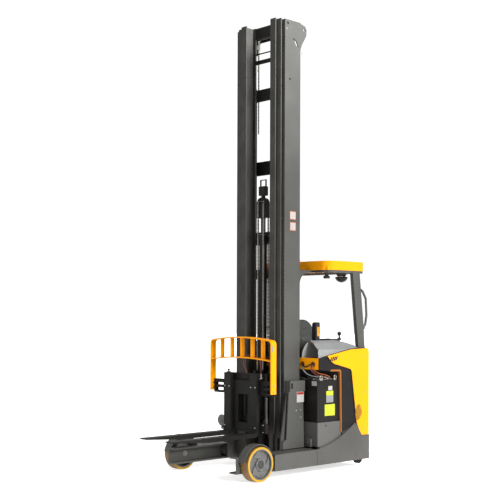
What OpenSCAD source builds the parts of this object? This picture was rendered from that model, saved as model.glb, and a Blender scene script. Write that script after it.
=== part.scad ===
// Reach truck with a three-stage mast, standing operator's bay and side-shifting forks.
// Millimetres. +X is towards the fork tips, +Y is the truck's left, +Z is up, the floor is z = 0.
// Sizes along the truck are laid out from the load wheels' axle, then moved to the middle of the length.

/* [Overall] */
// Distance from the load axle to the drive wheel's steering axis
wheelbase = 1400; // [1300:10:1500]
// Ground clearance under the legs and the chassis
ground_gap = 84; // [60:1:110]
// Rear face of the chassis behind the load axle
rear_reach = 1634; // [1560:2:1700]

/* [Load wheels] */
// Outer diameter of a load wheel
load_d = 343; // [320:1:350]
// Width of a load wheel
load_w = 112; // [100:1:120]
// Thickness of the polyurethane tyre on a load wheel
load_tread = 22; // [15:1:35]
// Gap between a load wheel and its leg
wheel_gap = 5.5; // [4:0.5:8]
// Diameter of a load wheel's axle
axle_d = 60; // [50:1:70]

/* [Legs] */
// Room beside the mast for the reach carriage's plates
leg_room = 57; // [54:1:64]
// How far a leg's outer face stands inside the load wheels' faces
leg_inset = 10.5; // [6:0.5:16]
// Height of a leg's box section
leg_h = 163; // [150:1:180]
// Depth of the roller channel, from its tips to its web
channel_depth = 90; // [80:1:92]
// Flange thickness of the roller channel
channel_flange = 16; // [12:1:20]
// Web thickness of the roller channel and of the leg's box
leg_wall = 10; // [8:1:12]
// Front end of the legs ahead of the load axle
leg_front = 215; // [205:1:240]

/* [Load wheel arches] */
// Gap between a load wheel and its arch
arch_gap = 16; // [12:1:24]
// Sheet thickness of an arch
arch_t = 8; // [6:1:12]
// Width of an arch, outwards from the leg's web
arch_w = 92; // [80:1:104]

/* [Chassis body] */
// How far the skirts stand inside the load wheels' faces
skirt_inset = 7.5; // [4:0.5:10]
// Plate thickness of the skirts
skirt_t = 14; // [10:1:18]
// Height of the highest point of a skirt's curved top edge
skirt_peak = 478; // [440:2:500]
// Height of a skirt at the rear
skirt_rear_h = 341; // [320:1:360]
// How far the side panels stand inside the skirts' faces
panel_inset = 7; // [5:1:9]
// Sheet thickness of the side panels
panel_t = 18; // [12:1:22]
// Height of a side panel at the rear
panel_top = 1268; // [1240:2:1290]
// Height of a side panel's front tip
panel_tip = 1198; // [1180:1:1215]

/* [Battery] */
// Length of the battery along the truck
battery_l = 346; // [300:2:350]
// Distance from a side panel's face to the battery
battery_inset = 28; // [26:1:70]
// Height of the battery's own box
battery_h = 660; // [600:5:680]
// Height of the light side plates that lock the battery in
tray_h = 245; // [200:5:280]
// Plate thickness of the battery tray
tray_t = 10; // [8:1:14]

/* [Front header] */
// Underside of the header above the battery
header_low = 1057; // [1040:1:1075]
// Height of the header
header_h = 118; // [100:1:130]
// Depth of the header along the truck
header_d = 60; // [50:1:80]
// Diameter of the cable holes in the header
cable_hole_d = 44; // [30:1:60]

/* [Operator station] */
// Height of the bay's floor
floor_z = 262; // [250:1:290]
// Height of the console's top
console_top = 1352; // [1320:1:1370]
// Right-hand edge of the standing bay
bay_right = -135; // [-150:1:-120]
// Inner edge of the left-hand console
console_in = 330; // [300:2:360]
// Diameter of the steering wheel
steer_d = 270; // [230:2:300]
// Height of the back pad's top
pad_top = 1572; // [1540:2:1590]
// Thickness of the back pad
pad_t = 85; // [70:1:100]

/* [Overhead guard] */
// Height of the guard's top
guard_h = 2192; // [2150:1:2260]
// Height of the guard's side band
fascia_h = 97; // [80:1:110]
// How far the guard stands inside the side panels' faces
guard_inset = 52; // [46:1:80]
// Front of the guard behind the load axle
guard_front = 1066; // [1040:2:1100]
// Rear of the guard behind the load axle
guard_rear = 1632; // [1620:1:1640]
// Corner radius of the guard in plan
guard_r = 130; // [80:2:150]
// Wall thickness of the guard's side band
fascia_t = 12; // [8:1:16]
// Thickness of the guard's roof bars
roof_bar_t = 24; // [16:1:30]
// Number of roof bars
roof_bars = 7; // [5:1:9]
// Rear pillar's depth along the truck
pillar_d = 112; // [90:2:124]
// Rear pillar's width
pillar_w = 42; // [36:1:50]
// Grab handle's tube diameter
grab_d = 26; // [22:1:30]

/* [Reach carriage] */
// How far the carriage's outer side plates stand over the legs
plate_lap = 25; // [20:1:30]
// Thickness of the carriage's side plates
reach_t = 14; // [10:1:18]
// Top of the carriage's side plates
reach_top = 836; // [800:2:860]
// Height of the clamp blocks above the side plates
clamp_h = 109; // [90:1:120]
// How far the mast reaches out along the legs
reach_stroke = 560; // [520:5:570]

/* [Mast] */
// Front face of the outer rails behind the load axle
mast_front = 593.5; // [590:0.5:600]
// Depth of the outer rails
mast_depth = 229.5; // [225:0.5:235]
// Half of the width over the outer rails
mast_half = 358; // [354:1:362]
// Height of the outer rails' top
mast_top = 4664; // [4400:2:4800]
// Step up from each rail's top to the next rail inwards
top_step = 12; // [8:1:16]
// Height of the rails' lower ends
mast_foot = 116; // [112:1:140]
// Web thickness of the rails
rail_web = 12; // [10:1:14]
// Flange thickness of the rails
rail_flange = 14.5; // [12:0.5:16]
// Depth of a rail over its flanges
rail_depth = 154.5; // [150:0.5:160]
// Reach of the outer rails' flanges
outer_flange = 53; // [48:1:54]
// Width of the middle rails' flanges
middle_flange = 73; // [70:1:74]
// Width of the inner rails' flanges
inner_flange = 74; // [66:1:76]
// Lift of the middle stage, and of the inner stage above it
stage_lift = 3700; // [3000:10:3750]
// Outer diameter of the two lift cylinders
lift_barrel_d = 52; // [44:1:54]
// Diameter of the lift cylinders' rods
lift_rod_d = 36; // [28:1:38]

/* [Free lift] */
// Outer diameter of the free-lift cylinder
free_barrel_d = 84; // [70:1:86]
// Diameter of the free-lift cylinder's rod
free_rod_d = 50; // [40:1:56]
// Height of the free-lift cylinder's barrel top
free_barrel_top = 2465; // [2400:5:2470]
// Height of the crosshead's top loop
free_head_top = 3046; // [2950:2:3100]

/* [Forks] */
// Length of a fork's blade ahead of its front face
fork_l = 1100; // [900:10:1200]
// Width of a fork
fork_w = 100; // [90:1:120]
// Thickness of a fork at the heel
fork_t = 42; // [36:1:50]
// Thickness of a fork at the tip
fork_tip_t = 12; // [8:1:16]
// Height of the blades' upper face as parked
fork_z = 417; // [400:1:440]
// Height of the shanks' top above the blades' underside
shank_h = 645; // [560:5:660]
// Middle of a fork from the centreline
fork_y = 195; // [180:1:205]
// Front face of the shanks behind the load axle
fork_face = 311; // [305:1:318]
// Side shift of the fork carriage, each way
side_shift = 75; // [50:1:80]

/* [Load backrest] */
// Half of the backrest's width
rest_half = 459; // [440:1:470]
// Top of the backrest's posts
rest_top = 1366; // [1300:2:1400]
// Lower ends of the backrest's posts
rest_low = 822; // [812:1:840]
// Depth of the backrest's flat bars
rest_d = 73; // [60:1:76]
// Thickness of the backrest's flat bars
rest_t = 12; // [10:1:16]
// Rise of the rails in the middle
rest_arch = 28; // [20:1:40]
// Distance from the top rail down to the second rail
rest_rail_drop = 207; // [180:1:230]
// Number of bars between the rails
rest_bars = 5; // [3:1:7]

/* [Drive unit] */
// Diameter of the drive wheel
drive_d = 343; // [330:1:350]
// Width of the drive wheel
drive_w = 114; // [100:1:120]
// Drive unit's distance to the right of the centreline
drive_y = 330; // [310:2:340]

/* [Hidden] */
// Running gap of a roller in its channel, and of a rod in its gland
run_gap = 0.3;
// Gap of a plain bearing
bearing_gap = 0.1;
// Load wheels: shoulder of the tyre, depth and lip of the dished face, and its three swept vanes
tread_shoulder = 8;
hub_dish = 22;
hub_lip = 12;
vane_h = 12;
vane_sweep = 42;
vane_deg = 52;
// Where the arch ends over the front of the wheel, in degrees above the axle
arch_front_a = 8;
// Least gap between pieces that pass each other
pass_gap = 5;
$fn = 48;

// Places across the truck, outwards from the mast
leg_in = mast_half + leg_room;
web_in = leg_in + channel_depth;
web_out = web_in + leg_wall;
wheel_in = web_out + wheel_gap;
track_half = wheel_in + load_w;
leg_out = track_half - leg_inset;
skirt_out = track_half - skirt_inset;
skirt_in = skirt_out - skirt_t;
panel_out = skirt_out - panel_inset;
panel_in = panel_out - panel_t;
battery_half = panel_out - battery_inset;
guard_half = panel_out - guard_inset;
reach_out = leg_in + plate_lap;
plate_in = leg_in - 27;
wheel_plane = (track_half + wheel_in) / 2;

// Places along the truck, from the load axle
rest_front_x = -fork_face + 4;
fork_tip_x = fork_l - fork_face;
skirt_front_x = -811;
grab_rear_x = -rear_reach - 63;
middle_x = (fork_tip_x + grab_rear_x) / 2;
battery_front_x = skirt_front_x - 35;
battery_rear_x = battery_front_x - battery_l;
body_front_x = battery_front_x - tray_t;
bulkhead_t = 10;
bulkhead_x = battery_rear_x - bulkhead_t - 4;
mast_x = -mast_front;
mast_rear_x = mast_x - mast_depth;

// Heights
leg_top = ground_gap + leg_h;
axle_z = load_d / 2;
drive_z = drive_d / 2;
tray_low = leg_top + 23;
roof_low = guard_h - fascia_h;
chassis_t = 12;

// Rails, outer to inner, on the +Y side: each next rail stands one step further forward, so that its
// rear flange runs inside the pocket of the rail around it
rail_step = rail_flange + pass_gap;
rail_front = [for (i = [0:2]) mast_x + i * rail_step];
rail_rear = [for (i = [0:2]) rail_front[i] - rail_depth];
web_y = [mast_half - rail_web, mast_half - 86, mast_half - 136];
flange_out = [mast_half, mast_half - 40, mast_half - 103];
flange_in = [mast_half - outer_flange, flange_out[1] - middle_flange, flange_out[2] - inner_flange];
rail_top = [for (i = [0:2]) mast_top + i * top_step];
rail_foot = [mast_foot, mast_foot + 24, mast_foot + 58];
pocket_x = [for (i = [0:2]) (rail_front[i] + rail_rear[i]) / 2];
roller_d = rail_depth - 2 * rail_flange - 2 * run_gap;
roller_w = 34;
stub_d = 46;
foot_zone = 215;
crossbar_t = 12;
base_t = 18;

// Side panel's outline points along the truck
panel_tip_x = -970;
panel_corner_x = -1349;
panel_corner_z = 1051;
panel_waist_x = -1433;
panel_foot_x = -1510;
peak_x = -1403;
mid_rise_x = -1179;
mid_rise_z = 373;

// Forks and carriage
blade_low = fork_z - fork_t;
shank_back_x = -fork_face - fork_t;
bar_t = 38;
bar_x = shank_back_x - run_gap;
bar_back_x = bar_x - bar_t;
upper_bar_z = 800;
upper_bar_h = 145;
lower_bar_z = blade_low + 40;
lower_bar_h = 96;
shift_gap = 0.5;
pivot_d = 30;
tilt_t = 36;
tilt_front_x = bar_back_x - 24;
tilt_back_x = tilt_front_x - tilt_t;
tilt_pivot_x = tilt_back_x - 26;
tilt_pivot_z = lower_bar_z + 30;
tilt_top_z = 990;
lift_y = flange_in[2] - 26;
lift_plate_t = 14;
lift_front_x = pocket_x[2] + 112;
lift_back_x = pocket_x[2] - 43;
lift_low = blade_low + 105;
lift_top = 1010;
tilt_cyl_z = lift_top - 60;
tilt_rod_d = 30;
tilt_cyl_y = lift_y - lift_plate_t - 46;
lift_bar_t = 30;
lift_bar_h = 90;
sheave_y = free_barrel_d / 2 - 2;
sheave_r = 36;
sheave_w = 18;
tie_d = 14;
gland_h = 34;
roller_low = 96;
reach_knee_z = 360;
reach_lug_half = 30;
free_x = rail_rear[2] + rail_flange + pass_gap + free_barrel_d / 2 + 8;
lift_cyl_x = (rail_rear[0] + mast_rear_x + crossbar_t) / 2;
lift_cyl_y = mast_half - 78;
lift_barrel_top = mast_top - 604;
lift_head_z = mast_top - 108;
lift_head_h = 44;
reach_cyl_y = -90;
reach_cyl_z = 150;
reach_lug_top = reach_cyl_z + 34;
reach_rod_d = 40;
reach_barrel_x = -1560;
body_top = header_low + header_h;
leg_rear_x = -857;
axle_recess = 12;
header_front_x = battery_front_x - 4;
cowl_top = console_top - 10;
pad_low = body_top - 175;
pad_front_x = bulkhead_x - 24;
pad_rear_x = pad_front_x - 262;
drive_disc_z = drive_d + 14;
drive_disc_t = 40;
pillar_foot_x = -1538;
pillar_top_x = -1433;
pillar_top_z = roof_low - 23;
foot_x = -1556;
foot_y = skirt_out - 97;
motor_d = 190;
motor_h = 330;
drive_disc_d = 250;
drive_tread = 30;
drive_axle_d = 50;
drive_swing_r = 200;
lift_hole_d = 32;
head_x = mast_rear_x - 91;
free_foot = rail_foot[2] + 40;
reach_barrel_d = 80;
roof_margin = 60;
bar_pitch = 2 * (guard_half - roof_margin) / (roof_bars - 1);
fitting_y = bar_pitch * 2;
cross_front_x = leg_rear_x + 25;

// Shared building steps

// Moves what is laid out from the load axle to the part's own origin
module placed() {
    translate([-middle_x, 0, 0]) children();
}

module both_sides() {
    children();
    mirror([0, 1, 0]) children();
}

// A block from its low corner to its high corner
module span(low, high) {
    translate(low) cube(high - low);
}

// A shape drawn in X and Z, made solid from y0 to y1
module side_profile(y0, y1) {
    translate([0, y1, 0]) rotate([90, 0, 0]) linear_extrude(y1 - y0) children();
}

// A shape drawn in Y and Z, made solid from x0 to x1
module cross_profile(x0, x1) {
    translate([x0, 0, 0]) rotate([90, 0, 90]) linear_extrude(x1 - x0) children();
}

// A round bar along Y
module y_bar(x, z, d, y0, y1, sides = 48) {
    translate([x, y1, z]) rotate([90, 0, 0]) cylinder(d = d, h = y1 - y0, $fn = sides);
}

// A round bar along X
module x_bar(y, z, d, x0, x1) {
    translate([x0, y, z]) rotate([0, 90, 0]) cylinder(d = d, h = x1 - x0);
}

// Points of an arc, from angle a0 to a1 in degrees
function arc(cx, cy, r, a0, a1, steps = 10) =
    [for (i = [0:steps]) let (a = a0 + (a1 - a0) * i / steps) [cx + r * cos(a), cy + r * sin(a)]];

// Legs and load wheels

module leg() {
    wheel_bay_x = -(load_d / 2 + arch_gap + arch_t + 6);
    difference() {
        union() {
            span([leg_rear_x, leg_in, ground_gap], [leg_front, web_out, leg_top]);
            span([skirt_front_x, leg_in, ground_gap], [wheel_bay_x, leg_out, leg_top]);
        }
        span([leg_rear_x - 1, leg_in - 1, ground_gap + channel_flange],
            [leg_front + 1, web_in, leg_top - channel_flange]);
        span([skirt_front_x - 1, web_out, ground_gap + leg_wall],
            [wheel_bay_x - leg_wall, leg_out - leg_wall, leg_top - leg_wall]);
        y_bar(0, axle_z, axle_d, web_in - 1, web_out + 1);
    }
}

module leg_left() {
    placed() color("dimgray") leg();
}

module leg_right() {
    placed() color("dimgray") mirror([0, 1, 0]) leg();
}

module wheel_arches() {
    arch_r = load_d / 2 + arch_gap + arch_t;
    placed() color("dimgray") both_sides() side_profile(web_out, web_out + arch_w) polygon(concat(
        arc(0, axle_z, arch_r, arch_front_a, 180, 24),
        [[-arch_r, ground_gap], [-arch_r + arch_t, ground_gap]],
        arc(0, axle_z, arch_r - arch_t, 180, arch_front_a, 24)));
}

module load_axles() {
    placed() color("darkgray") both_sides() {
        y_bar(0, axle_z, axle_d, web_in, track_half - axle_recess);
        y_bar(0, axle_z, 2 * axle_d, web_out, wheel_in - 1.5);
    }
}

// A ring of the given bore and two rounded shoulders, turned about the axle
module wheel_ring(d, bore, w, round_r) {
    rotate([90, 0, 0]) rotate_extrude($fn = 96) difference() {
        translate([bore / 2, -w / 2]) square([(d - bore) / 2, w]);
        for (end = [-1, 1]) translate([d / 2 - round_r, end * (w / 2 - round_r)])
            difference() {
                translate([0, end > 0 ? 0 : -round_r]) square([round_r + 1, round_r + 1]);
                circle(round_r, $fn = 32);
            }
    }
}

module load_tyre() {
    translate([0, wheel_plane, axle_z]) wheel_ring(load_d, load_d - 2 * load_tread, load_w, tread_shoulder);
}

// One of the three swept vanes on a load wheel's dished face
module hub_vane(r0, r1) {
    steps = 8;
    polygon(concat(
        [for (i = [0:steps]) let (r = r0 + (r1 - r0) * i / steps, a = vane_sweep * i / steps) [r * cos(a), r * sin(a)]],
        [for (i = [steps:-1:0]) let (r = r0 + (r1 - r0) * i / steps, a = vane_sweep * i / steps + vane_deg)
            [r * cos(a), r * sin(a)]]));
}

module load_hub() {
    rim_d = load_d - 2 * load_tread;
    dish_y = track_half - hub_dish;
    axle_end = track_half - axle_recess;
    back_depth = 40;
    difference() {
        union() {
            y_bar(0, axle_z, rim_d, wheel_in, dish_y, 96);
            difference() {
                y_bar(0, axle_z, rim_d, dish_y - 1, track_half, 96);
                y_bar(0, axle_z, rim_d - 2 * hub_lip, dish_y - 2, track_half + 1, 96);
            }
            y_bar(0, axle_z, 2 * axle_d, dish_y - 1, track_half - 4);
            for (turn = [0:2]) translate([0, dish_y - 1, axle_z]) rotate([0, turn * 120, 0])
                rotate([-90, 0, 0]) linear_extrude(vane_h) hub_vane(axle_d - 5, rim_d / 2 - hub_lip - 4);
        }
        y_bar(0, axle_z, rim_d - 2 * hub_lip - 6, wheel_in - 1, wheel_in + back_depth, 96);
        y_bar(0, axle_z, axle_d + 2 * bearing_gap, wheel_in - 1, axle_end + 2);
    }
    // Bearing boss inside the hollow back of the wheel
    difference() {
        y_bar(0, axle_z, 1.7 * axle_d, wheel_in + 4, wheel_in + back_depth + 1);
        y_bar(0, axle_z, axle_d + 2 * bearing_gap, wheel_in, wheel_in + back_depth + 2);
    }
}

module load_tyre_left() {
    placed() color("goldenrod") load_tyre();
}

module load_tyre_right() {
    placed() color("goldenrod") mirror([0, 1, 0]) load_tyre();
}

module load_hub_left() {
    placed() color("gray") load_hub();
}

module load_hub_right() {
    placed() color("gray") mirror([0, 1, 0]) load_hub();
}

// Chassis

module main_frame() {
    rear_in = -rear_reach + chassis_t;
    floor_top = ground_gap + chassis_t;
    side_in = skirt_out - skirt_t;
    bulkhead_front = bulkhead_x + bulkhead_t;
    placed() color("dimgray") {
        difference() {
            union() {
                // Cross member between the legs, ahead of the battery
                span([leg_rear_x, -leg_in, ground_gap], [cross_front_x, leg_in, ground_gap + 70]);
                // Floor under the battery and the bay
                span([-rear_reach, -side_in, ground_gap], [leg_rear_x, side_in, floor_top]);
                // Rear plate
                span([-rear_reach, -side_in, ground_gap], [rear_in, side_in, floor_z - chassis_t]);
                // Bulkhead between the battery and the bay
                span([bulkhead_x, -panel_in, ground_gap], [bulkhead_front, panel_in, body_top]);
                // Left-hand wall of the bay and the post that carries the rear pillar
                span([rear_in, panel_in - bulkhead_t, ground_gap], [bulkhead_front, panel_in, body_top]);
                span([rear_in, guard_half - 6 - pillar_w, floor_z],
                    [pillar_foot_x, panel_in, body_top]);
                // Ribs under the battery tray
                for (y = [-side_in, -20, side_in - 40])
                    span([bulkhead_x, y, ground_gap], [leg_rear_x, y + 40, tray_low]);
                // Reach cylinder, on the floor under the bay and the battery
                x_bar(reach_cyl_y, reach_cyl_z, reach_barrel_d, reach_barrel_x, leg_rear_x - 4);
                for (x = [reach_barrel_x + 40, leg_rear_x - 60])
                    span([x, reach_cyl_y - 30, ground_gap], [x + 40, reach_cyl_y + 30, reach_cyl_z]);
            }
            x_bar(reach_cyl_y, reach_cyl_z, reach_rod_d + 2 * run_gap, reach_barrel_x + 20, cross_front_x + 1);
            // Opening for the drive wheel's turning circle
            translate([-wheelbase, -drive_y, ground_gap - 1]) cylinder(r = drive_swing_r, h = chassis_t + 2, $fn = 96);
            // Openings for the stabiliser feet
            for (side = [-1, 1])
                span([foot_x - 54, side * foot_y - 24, ground_gap - 1], [foot_x + 54, side * foot_y + 24, floor_top + 1]);
            // Way for the reach cylinder's rod
            x_bar(reach_cyl_y, reach_cyl_z, reach_rod_d + 20, leg_rear_x - 1, cross_front_x + 1);
        }
    }
}

module skirt_outline() {
    polygon(concat(
        [[skirt_front_x, ground_gap], [skirt_front_x, leg_top + 2]],
        [for (i = [0:12]) let (t = i / 12)
            [skirt_front_x - 40 + (peak_x - skirt_front_x + 40) * t,
            leg_top + 6 + (skirt_peak - leg_top - 6) * (0.62 * t * t + 0.38 * t)]],
        [[peak_x - 16, skirt_peak - 8], [panel_foot_x + 24, skirt_rear_h + 40],
        [panel_foot_x, skirt_rear_h + 6], [panel_foot_x - 20, skirt_rear_h],
        [-rear_reach, skirt_rear_h], [-rear_reach, ground_gap]]));
}

module side_skirts() {
    placed() color("dimgray") both_sides() side_profile(skirt_out - skirt_t, skirt_out) skirt_outline();
}

module battery_tray() {
    y = panel_out - 14;
    x1 = battery_front_x + tray_t;
    placed() color("gray") difference() {
        span([battery_rear_x - 2, -y, tray_low], [x1, y, tray_low + tray_h]);
        // Room for the battery, open at the top and the rear
        span([battery_rear_x - 3, -y + tray_t, tray_low + 12], [battery_front_x, y - tray_t, tray_low + tray_h + 1]);
        for (side = [-1, 1]) y_bar(battery_front_x - 115, tray_low + tray_h - 36, 18,
            side * (y - tray_t / 2) - tray_t, side * (y - tray_t / 2) + tray_t);
    }
}

module battery() {
    placed() color([0.13, 0.12, 0.11])
        span([battery_rear_x, -battery_half, tray_low + 12],
            [battery_front_x, battery_half, tray_low + 12 + battery_h]);
}

module front_header() {
    x1 = header_front_x;
    x0 = x1 - header_d;
    wall = 8;
    placed() color("orange") difference() {
        span([x0, -panel_in, header_low], [x1, panel_in, body_top]);
        span([x0 + wall, -panel_in + wall, header_low - 1], [x1 - wall, panel_in - wall, body_top - wall]);
        for (side = [-1, 1]) for (step = [0, 1])
            x_bar(side * (panel_out - 92 - step * 150), header_low + header_h * 0.45, cable_hole_d, x1 - wall - 1, x1 + 1);
    }
}

// Side body panels

module side_panel_outline() {
    polygon(concat(
        [[panel_tip_x, panel_tip]],
        [[panel_tip_x - 64, panel_tip - 60]],
        [[panel_tip_x - 110, panel_tip - 84]],
        [[panel_corner_x + 34, panel_corner_z + 8]],
        [[panel_corner_x + 8, panel_corner_z - 4], [panel_corner_x - 6, panel_corner_z - 34]],
        [[panel_waist_x, skirt_peak + 28], [peak_x - 40, skirt_peak - 10]],
        [[panel_foot_x + 24, skirt_rear_h + 42], [panel_foot_x, skirt_rear_h + 8]],
        [[panel_foot_x - 20, skirt_rear_h + 2], [-rear_reach, skirt_rear_h + 2]],
        arc(-rear_reach + 40, panel_top - 40, 40, 180, 90, 8),
        [[-1330, panel_top - 10], [-1130, panel_tip + 26]]));
}

module side_panels() {
    placed() color("gold") both_sides() {
        difference() {
            side_profile(panel_in, panel_out) side_panel_outline();
            // Half-round step recess in the lower front edge
            side_profile(panel_out - 10, panel_out + 1) intersection() {
                translate([panel_waist_x - 12, 590]) circle(72, $fn = 64);
                translate([panel_waist_x - 96, 500]) square([84, 180]);
            }
        }
        // Rear corner return
        span([-rear_reach, panel_out - 108, skirt_rear_h + 2],
            [-rear_reach + chassis_t, panel_in, body_top]);
    }
}

module dark_panels() {
    x1 = header_front_x;
    placed() color([0.16, 0.15, 0.14]) both_sides() side_profile(panel_in, skirt_out - skirt_t - 0.5) polygon([
        [x1, body_top], [panel_tip_x + 4, panel_tip], [panel_tip_x - 60, panel_tip - 63],
        [panel_tip_x - 108, panel_tip - 88], [panel_corner_x + 34, panel_corner_z + 4],
        [panel_corner_x + 11, panel_corner_z - 8], [panel_corner_x - 1, panel_corner_z - 36],
        [panel_waist_x + 4, skirt_peak + 28], [peak_x - 30, skirt_peak + 4],
        [mid_rise_x - 30, mid_rise_z + 20], [battery_rear_x - 12, tray_low + 92],
        [battery_rear_x - 12, header_low - 32], [x1, header_low - 2]]);
}

// Operator station

module front_cowl() {
    x1 = header_front_x - header_d + 18;
    x0 = bulkhead_x - 20;
    bow = 150;
    wall = 14;
    half = console_in + 20;
    placed() color([0.3, 0.3, 0.3]) difference() {
        side_profile(-half, half) polygon(concat(
            [[x1, body_top]], arc(x1 - bow, cowl_top - bow, bow, 0, 90, 10),
            [[x0, cowl_top], [x0, body_top]]));
        side_profile(-half + wall, half - wall) polygon(concat(
            [[x1 - wall, body_top - 1]], arc(x1 - bow, cowl_top - bow, bow - wall, 0, 90, 10),
            [[x0 + wall, cowl_top - wall], [x0 + wall, body_top - 1]]));
    }
}

module console() {
    top_y = console_in + 20.3;
    out_y = panel_in - 6;
    wall = 14;
    rear_x = pillar_front(console_top) + 1;
    placed() color("lightgray") both_sides() intersection() {
        cross_profile(rear_x, header_front_x - 4) difference() {
            polygon([[top_y, console_top], [top_y + 110, console_top - 26], [out_y - 18, console_top - 90],
                [out_y, console_top - 150], [out_y, body_top], [top_y, body_top]]);
            polygon([[top_y + wall, console_top - wall], [top_y + 106, console_top - 26 - wall],
                [out_y - 18 - wall, console_top - 94], [out_y - wall, console_top - 152],
                [out_y - wall, body_top - 1], [top_y + wall, body_top - 1]]);
        }
        side_profile(0, panel_out) polygon(concat(
            [[header_front_x - 4, body_top]],
            [for (i = [0:8]) let (a = 90 * i / 8) [header_front_x - 4 - 170 * (1 - cos(a)),
                body_top + 12 + (console_top - body_top - 10) * sin(a)]],
            [[-1380, console_top + 2], [rear_x, console_top - 52], [rear_x, body_top]]));
    }
}

module bay_floor() {
    rear_in = -rear_reach + chassis_t;
    placed() color([0.12, 0.12, 0.12]) {
        // Deck of the bay
        span([rear_in, bay_right, floor_z - 12], [bulkhead_x, panel_in - bulkhead_t, floor_z]);
        // Step edge over the rear plate
        span([-rear_reach, bay_right, floor_z - chassis_t], [rear_in, panel_out - 110, floor_z + 4]);
    }
}

module pad_outline(inset) {
    x0 = pad_rear_x + inset;
    x1 = pad_front_x - inset;
    r = 125 - inset;
    foot_r = 50;
    low = pad_low + inset;
    top = pad_top - inset;
    polygon(concat(
        arc(x0 + foot_r, low + foot_r, foot_r, 270, 180, 6), arc(x0 + r, top - r, r, 180, 90, 10),
        arc(x1 - r, top - r, r, 90, 0, 10), arc(x1 - foot_r, low + foot_r, foot_r, 0, -90, 6)));
}

module back_pad() {
    placed() color([0.35, 0.35, 0.34]) side_profile(bay_right + run_gap, bay_right + run_gap + pad_t) pad_outline(0);
}

// Housing of the drive unit on the right of the bay, with the board behind the back pad
module power_housing() {
    rear_in = -rear_reach + chassis_t;
    wall = 8;
    shelf_t = 14;
    floor_top = ground_gap + chassis_t;
    shelf_z = drive_disc_z + drive_disc_t + run_gap;
    placed() color([0.14, 0.14, 0.14]) {
        difference() {
            span([rear_in, -panel_in, floor_top], [bulkhead_x, bay_right, body_top]);
            span([rear_in + wall, -panel_in + wall, floor_top - 1], [bulkhead_x - wall, bay_right - wall, shelf_z]);
            span([rear_in + wall, -panel_in + wall, shelf_z + shelf_t],
                [bulkhead_x - wall, bay_right - wall, body_top - wall]);
            translate([-wheelbase, -drive_y, shelf_z - 1]) cylinder(d = motor_d + 2 * run_gap, h = shelf_t + 2);
        }
        side_profile(bay_right - wall, bay_right) difference() {
            pad_outline(3 * wall);
            translate([pad_rear_x - 1, 0]) square([pad_front_x - pad_rear_x + 2, body_top - 1]);
        }
    }
}

module controls() {
    wheel_x = -1440;
    wheel_y = 200;
    wheel_z = console_top - 2;
    rim_r = steer_d / 2 - 12;
    pod_x = bulkhead_x + 92;
    pod_y = console_in - 10;
    pod_d = 62;
    pod_w = 56;
    pod_h = 202;
    placed() color([0.1, 0.1, 0.1]) {
        // Steering wheel on its column, which a bracket carries from the console
        translate([wheel_x, wheel_y, wheel_z]) {
            rotate_extrude($fn = 64) translate([rim_r, 0]) circle(d = 24, $fn = 24);
            translate([0, 0, -11]) cylinder(d = 76, h = 22);
            for (turn = [0, 120, 240]) rotate([0, 0, turn]) translate([20, -12, -7]) cube([rim_r - 20, 24, 14]);
            // Spinner knob, on the rim's rear left
            rotate([0, 0, 135]) translate([rim_r, 0, 0]) {
                cylinder(d = 46, h = 22);
                cylinder(d = 20, h = 62);
                translate([0, 0, 68]) sphere(d = 44, $fn = 32);
            }
            translate([0, 0, -160]) cylinder(d = 54, h = 155);
        }
        span([wheel_x - 40, wheel_y - 40, body_top + 20], [wheel_x + 40, console_in + 20.3, body_top + 60]);
        // Hand control pod on the cowl
        side_profile(pod_y - pod_w, pod_y) polygon(concat(
            [[pod_x, cowl_top], [pod_x - pod_d, cowl_top]],
            arc(pod_x - pod_d + 20, cowl_top + pod_h - 20, 20, 180, 90, 5),
            arc(pod_x - 30, cowl_top + pod_h - 30, 30, 90, 0, 6)));
    }
}

// Overhead guard

module guard_outline(inset) {
    x0 = -guard_rear + inset;
    x1 = -guard_front - inset;
    y = guard_half - inset;
    r = guard_r - inset;
    r2 = 60 - inset;
    polygon(concat(
        arc(x1 - r, y - r, r, 90, 0, 10), arc(x1 - r, -y + r, r, 0, -90, 10),
        arc(x0 + r2, -y + r2, r2, 270, 180, 6), arc(x0 + r2, y - r2, r2, 180, 90, 6)));
}

module guard_roof() {
    placed() color("gold") {
        difference() {
            translate([0, 0, roof_low]) linear_extrude(fascia_h) guard_outline(0);
            translate([0, 0, roof_low - 1]) linear_extrude(fascia_h + 2) guard_outline(fascia_t);
        }
        for (i = [0:roof_bars - 1]) let (y = -(guard_half - roof_margin) + i * bar_pitch)
            span([-guard_rear + fascia_t, y - roof_bar_t / 2, roof_low],
                [-guard_front - fascia_t, y + roof_bar_t / 2, roof_low + 36]);
    }
}

module guard_pillars() {
    post_x = header_front_x;
    post_d = 40;
    post_w = 50;
    post_y = 245;
    frame_t = 24;
    gusset_r = 130;
    pillar_out = guard_half - 6;
    placed() color([0.2, 0.2, 0.2]) {
        // Frame under the guard's side band
        translate([0, 0, roof_low - frame_t]) linear_extrude(frame_t) difference() {
            guard_outline(5);
            guard_outline(60);
        }
        both_sides() {
            // Front post behind the mast, with a curved gusset under the guard
            side_profile(post_y, post_y + post_w) polygon(concat(
                [[post_x, body_top], [post_x, roof_low], [-guard_front, roof_low]],
                [[-guard_front - 8, roof_low - frame_t / 2], [-guard_front - 8, roof_low - frame_t]],
                arc(post_x - post_d - gusset_r, roof_low - frame_t - gusset_r, gusset_r, 90, 0, 8),
                [[post_x - post_d, body_top]]));
            // Rear pillar, leaning forward to the guard
            side_profile(pillar_out - pillar_w, pillar_out) rear_pillar_outline();
        }
    }
}

// Front edge of the rear pillar at height z, where it leans forward
function pillar_front(z) = pillar_foot_x + (pillar_top_x - pillar_foot_x) * (z - body_top) / (pillar_top_z - body_top);

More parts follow.
